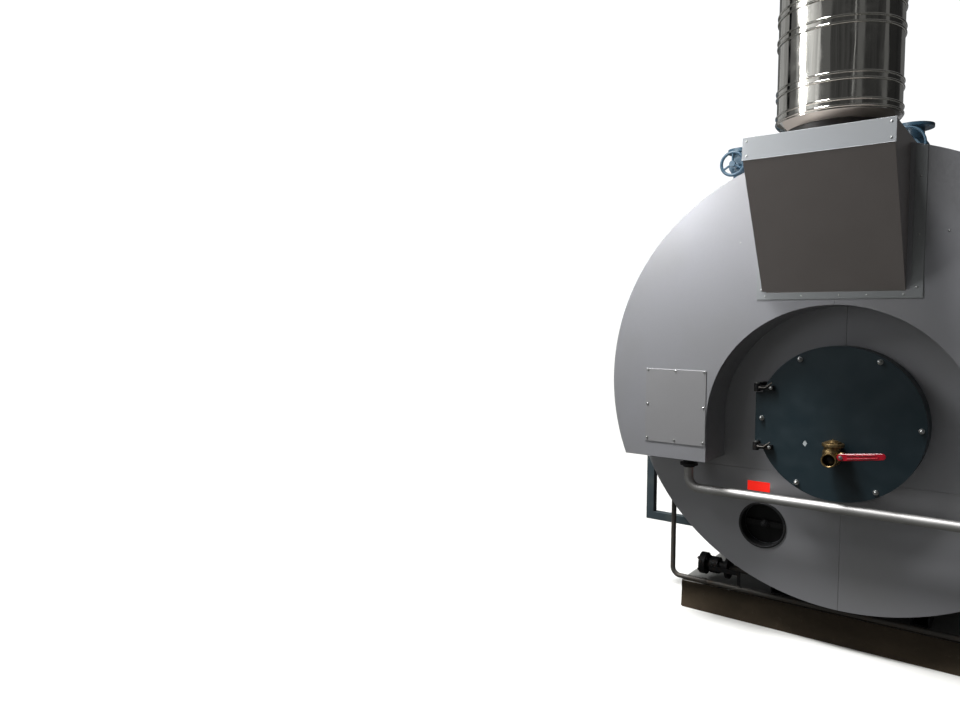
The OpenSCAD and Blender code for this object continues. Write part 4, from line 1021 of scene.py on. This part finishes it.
def roughPlinth():
    given = plinthSettings
    low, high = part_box("plinth")
    middle, size, hair, rim = (low + high) / 2, high - low, given["hair"], given["rim"]
    bm = bmesh.new()
    bmesh.ops.create_cube(bm, size=1, matrix=Matrix.Translation(middle) @ Matrix.Diagonal((*size, 1)))
    sharp = [e for e in bm.edges if all(v.co.z > high.z - hair for v in e.verts)]
    sharp += [e for e in bm.edges if abs(e.verts[0].co.z - e.verts[1].co.z) > size.z / 2]
    bmesh.ops.bevel(bm, geom=sharp, offset=given["bevel"], segments=2, affect="EDGES")
    for axis, cuts in enumerate(given["cuts"]):
        edges = [e for e in bm.edges if abs((e.verts[1].co - e.verts[0].co)[axis]) > size.z / 2]
        bmesh.ops.subdivide_edges(bm, edges=edges, cuts=cuts, use_grid_fill=True)
    for v in bm.verts:
        if v.co.z < low.z + hair:
            continue
        coarse = 0.5 * noise.noise(v.co * given["coarse"])
        fine = given["fineShare"] * noise.noise(v.co * given["fine"])
        push = given["rough"] * max(0, 0.5 + coarse + fine)
        nearSide = [abs(abs(v.co[k] - middle[k]) - size[k] / 2) < rim for k in (0, 1)]
        for k in (0, 1):
            if nearSide[k]:
                v.co[k] -= math.copysign(push, v.co[k] - middle[k])
        if v.co.z > high.z - rim:
            v.co.z -= push * given["topShare"]
    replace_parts(makePiece("roughPlinth", bm, "concrete", crease=60), "plinth")


coverScrews()
hungHood()
hoodFasteners()
lockingBands()
doorBolts()
hingeDetails()
brassValve()
valveLever()
redPlate()
inspectionDetails()
pipeWelds()
blowdownDetails()
claddingSeams()
crownDetails()
burnerDetails()
roughPlinth()
print("pieces made")


def makeCamera(scene):
    yaw, pitch, roll = (math.radians(studio[k]) for k in ("cameraYaw", "cameraPitch", "cameraRoll"))
    ahead = Vector((-math.sin(yaw) * math.cos(pitch), math.cos(yaw) * math.cos(pitch), math.sin(pitch)))
    level = Vector((math.cos(yaw), math.sin(yaw), 0))
    above = level.cross(ahead)
    right = math.cos(roll) * level + math.sin(roll) * above
    up = -math.sin(roll) * level + math.cos(roll) * above
    lens = bpy.data.cameras.new("camera")
    lens.lens = studio["lens"]
    lens.sensor_width = studio["filmWidth"]
    camera = bpy.data.objects.new("camera", lens)
    camera.matrix_world = Matrix((right, up, -ahead)).transposed().to_4x4()
    camera.location = studio["cameraPlace"]
    scene.collection.objects.link(camera)
    scene.camera = camera


def makeFloor(scene):
    # A plain pale floor, which is darker to everything but the camera
    floor = bmesh.new()
    bmesh.ops.create_grid(floor, x_segments=1, y_segments=1, size=studio["floorSize"] / 2)
    mesh = bpy.data.meshes.new("floor")
    floor.to_mesh(mesh)
    floor.free()
    ground = bpy.data.objects.new("floor", mesh)
    scene.collection.objects.link(ground)
    pale = bpy.data.materials.new("paleFloor")
    pale.use_nodes = True
    tree = pale.node_tree
    shader = tree.nodes["Principled BSDF"]
    path = addNode(tree, "LightPath")
    tint = addNode(tree, "Mix", {"data_type": "RGBA"}, {
        "Factor": path.outputs["Is Camera Ray"], mixFirst: linear(studio["floorShade"]),
        mixSecond: linear(studio["floorTint"])})
    shader.inputs["Roughness"].default_value = studio["floorRough"]
    shader.inputs["Specular IOR Level"].default_value = 0.0
    mesh.materials.append(linkSurface(pale, shader, {"Base Color": tint.outputs[mixResult]}))


def makeSky(scene):
    # White to the camera, and dim as a light and in reflections
    world = bpy.data.worlds.new("sky")
    world.use_nodes = True
    scene.world = world
    tree = world.node_tree
    tree.nodes.clear()
    path = addNode(tree, "LightPath")
    glint = addNode(tree, "MapRange", links={
        "Value": path.outputs["Is Glossy Ray"], "To Min": studio["skyLight"], "To Max": studio["skyGlint"]})
    strength = addNode(tree, "Mix", {"data_type": "FLOAT"}, {
        "Factor": path.outputs["Is Camera Ray"], "A": glint.outputs["Result"], "B": studio["skySeen"]})
    sky = addNode(tree, "Background", links={
        "Color": linear(studio["skyTint"]), "Strength": strength.outputs["Result"]})
    addNode(tree, "OutputWorld", links={"Surface": sky.outputs["Background"]})


def makeLights(scene):
    lamp = bpy.data.lights.new("key", "SUN")
    lamp.energy = studio["keyPower"]
    lamp.angle = math.radians(studio["keyAngle"])
    body = bpy.data.objects.new("key", lamp)
    body.rotation_euler = Vector(studio["keyAim"]).to_track_quat("-Z", "Y").to_euler()
    scene.collection.objects.link(body)

    softbox = bpy.data.lights.new("softbox", "AREA")
    softbox.energy = studio["lampPower"]
    softbox.shape = "RECTANGLE"
    softbox.size, softbox.size_y = studio["lampSize"]
    stand = bpy.data.objects.new("softbox", softbox)
    stand.location = studio["lampPlace"]
    aim = Vector(studio["lampTarget"]) - stand.location
    stand.rotation_euler = aim.to_track_quat("-Z", "Y").to_euler()
    stand.visible_camera = False
    scene.collection.objects.link(stand)


def makeScreen(name, place, width, height, bright):
    # A cloth that only shows in reflections, with upright streaks, turned to face the flue
    cloth = bpy.data.materials.new(name)
    cloth.use_nodes = True
    tree = cloth.node_tree
    tree.nodes.clear()
    spot = addNode(tree, "TexCoord").outputs["Object"]
    streak = addNode(tree, "Mapping", links={"Vector": spot, "Scale": (1.0, 1.0, 0.12)})
    cloud = addNode(tree, "TexNoise", links={
        "Vector": streak.outputs["Vector"], "Scale": 1.7, "Detail": 3.0})
    level = addNode(tree, "MapRange", links={
        "Value": cloud.outputs["Fac"], "From Min": 0.38, "From Max": 0.62,
        "To Min": 0.5 * bright, "To Max": bright})
    glow = addNode(tree, "Emission", links={
        "Color": linear(studio["skyTint"]), "Strength": level.outputs["Result"]})
    addNode(tree, "OutputMaterial", links={"Surface": glow.outputs["Emission"]})
    bm = bmesh.new()
    bmesh.ops.create_grid(bm, x_segments=1, y_segments=1, size=0.5)
    mesh = bpy.data.meshes.new(name)
    toward = Vector((*studio["screenAim"], place[2])) - Vector(place)
    bm.transform(Matrix.Translation(place) @ toward.to_track_quat("Z", "Y").to_matrix().to_4x4()
                 @ Matrix.Diagonal((width, height, 1, 1)))
    bm.to_mesh(mesh)
    bm.free()
    mesh.materials.append(cloth)
    screen = bpy.data.objects.new(name, mesh)
    bpy.context.scene.collection.objects.link(screen)
    screen.visible_camera = screen.visible_diffuse = False
    screen.visible_shadow = screen.visible_transmission = False
    return screen


def makeStudio():
    scene = bpy.context.scene
    scene.view_settings.view_transform = "Standard"
    makeCamera(scene)
    makeFloor(scene)
    makeSky(scene)
    makeLights(scene)
    for i, (place, width, height, bright) in enumerate(studio["screens"]):
        makeScreen("screen%d" % i, place, width, height, bright)
    flag = makeScreen("flag", studio["flagPlace"], *studio["flagSize"], 0.0)
    flag.visible_diffuse, flag.visible_glossy = True, False


makeStudio()
print("studio ready")
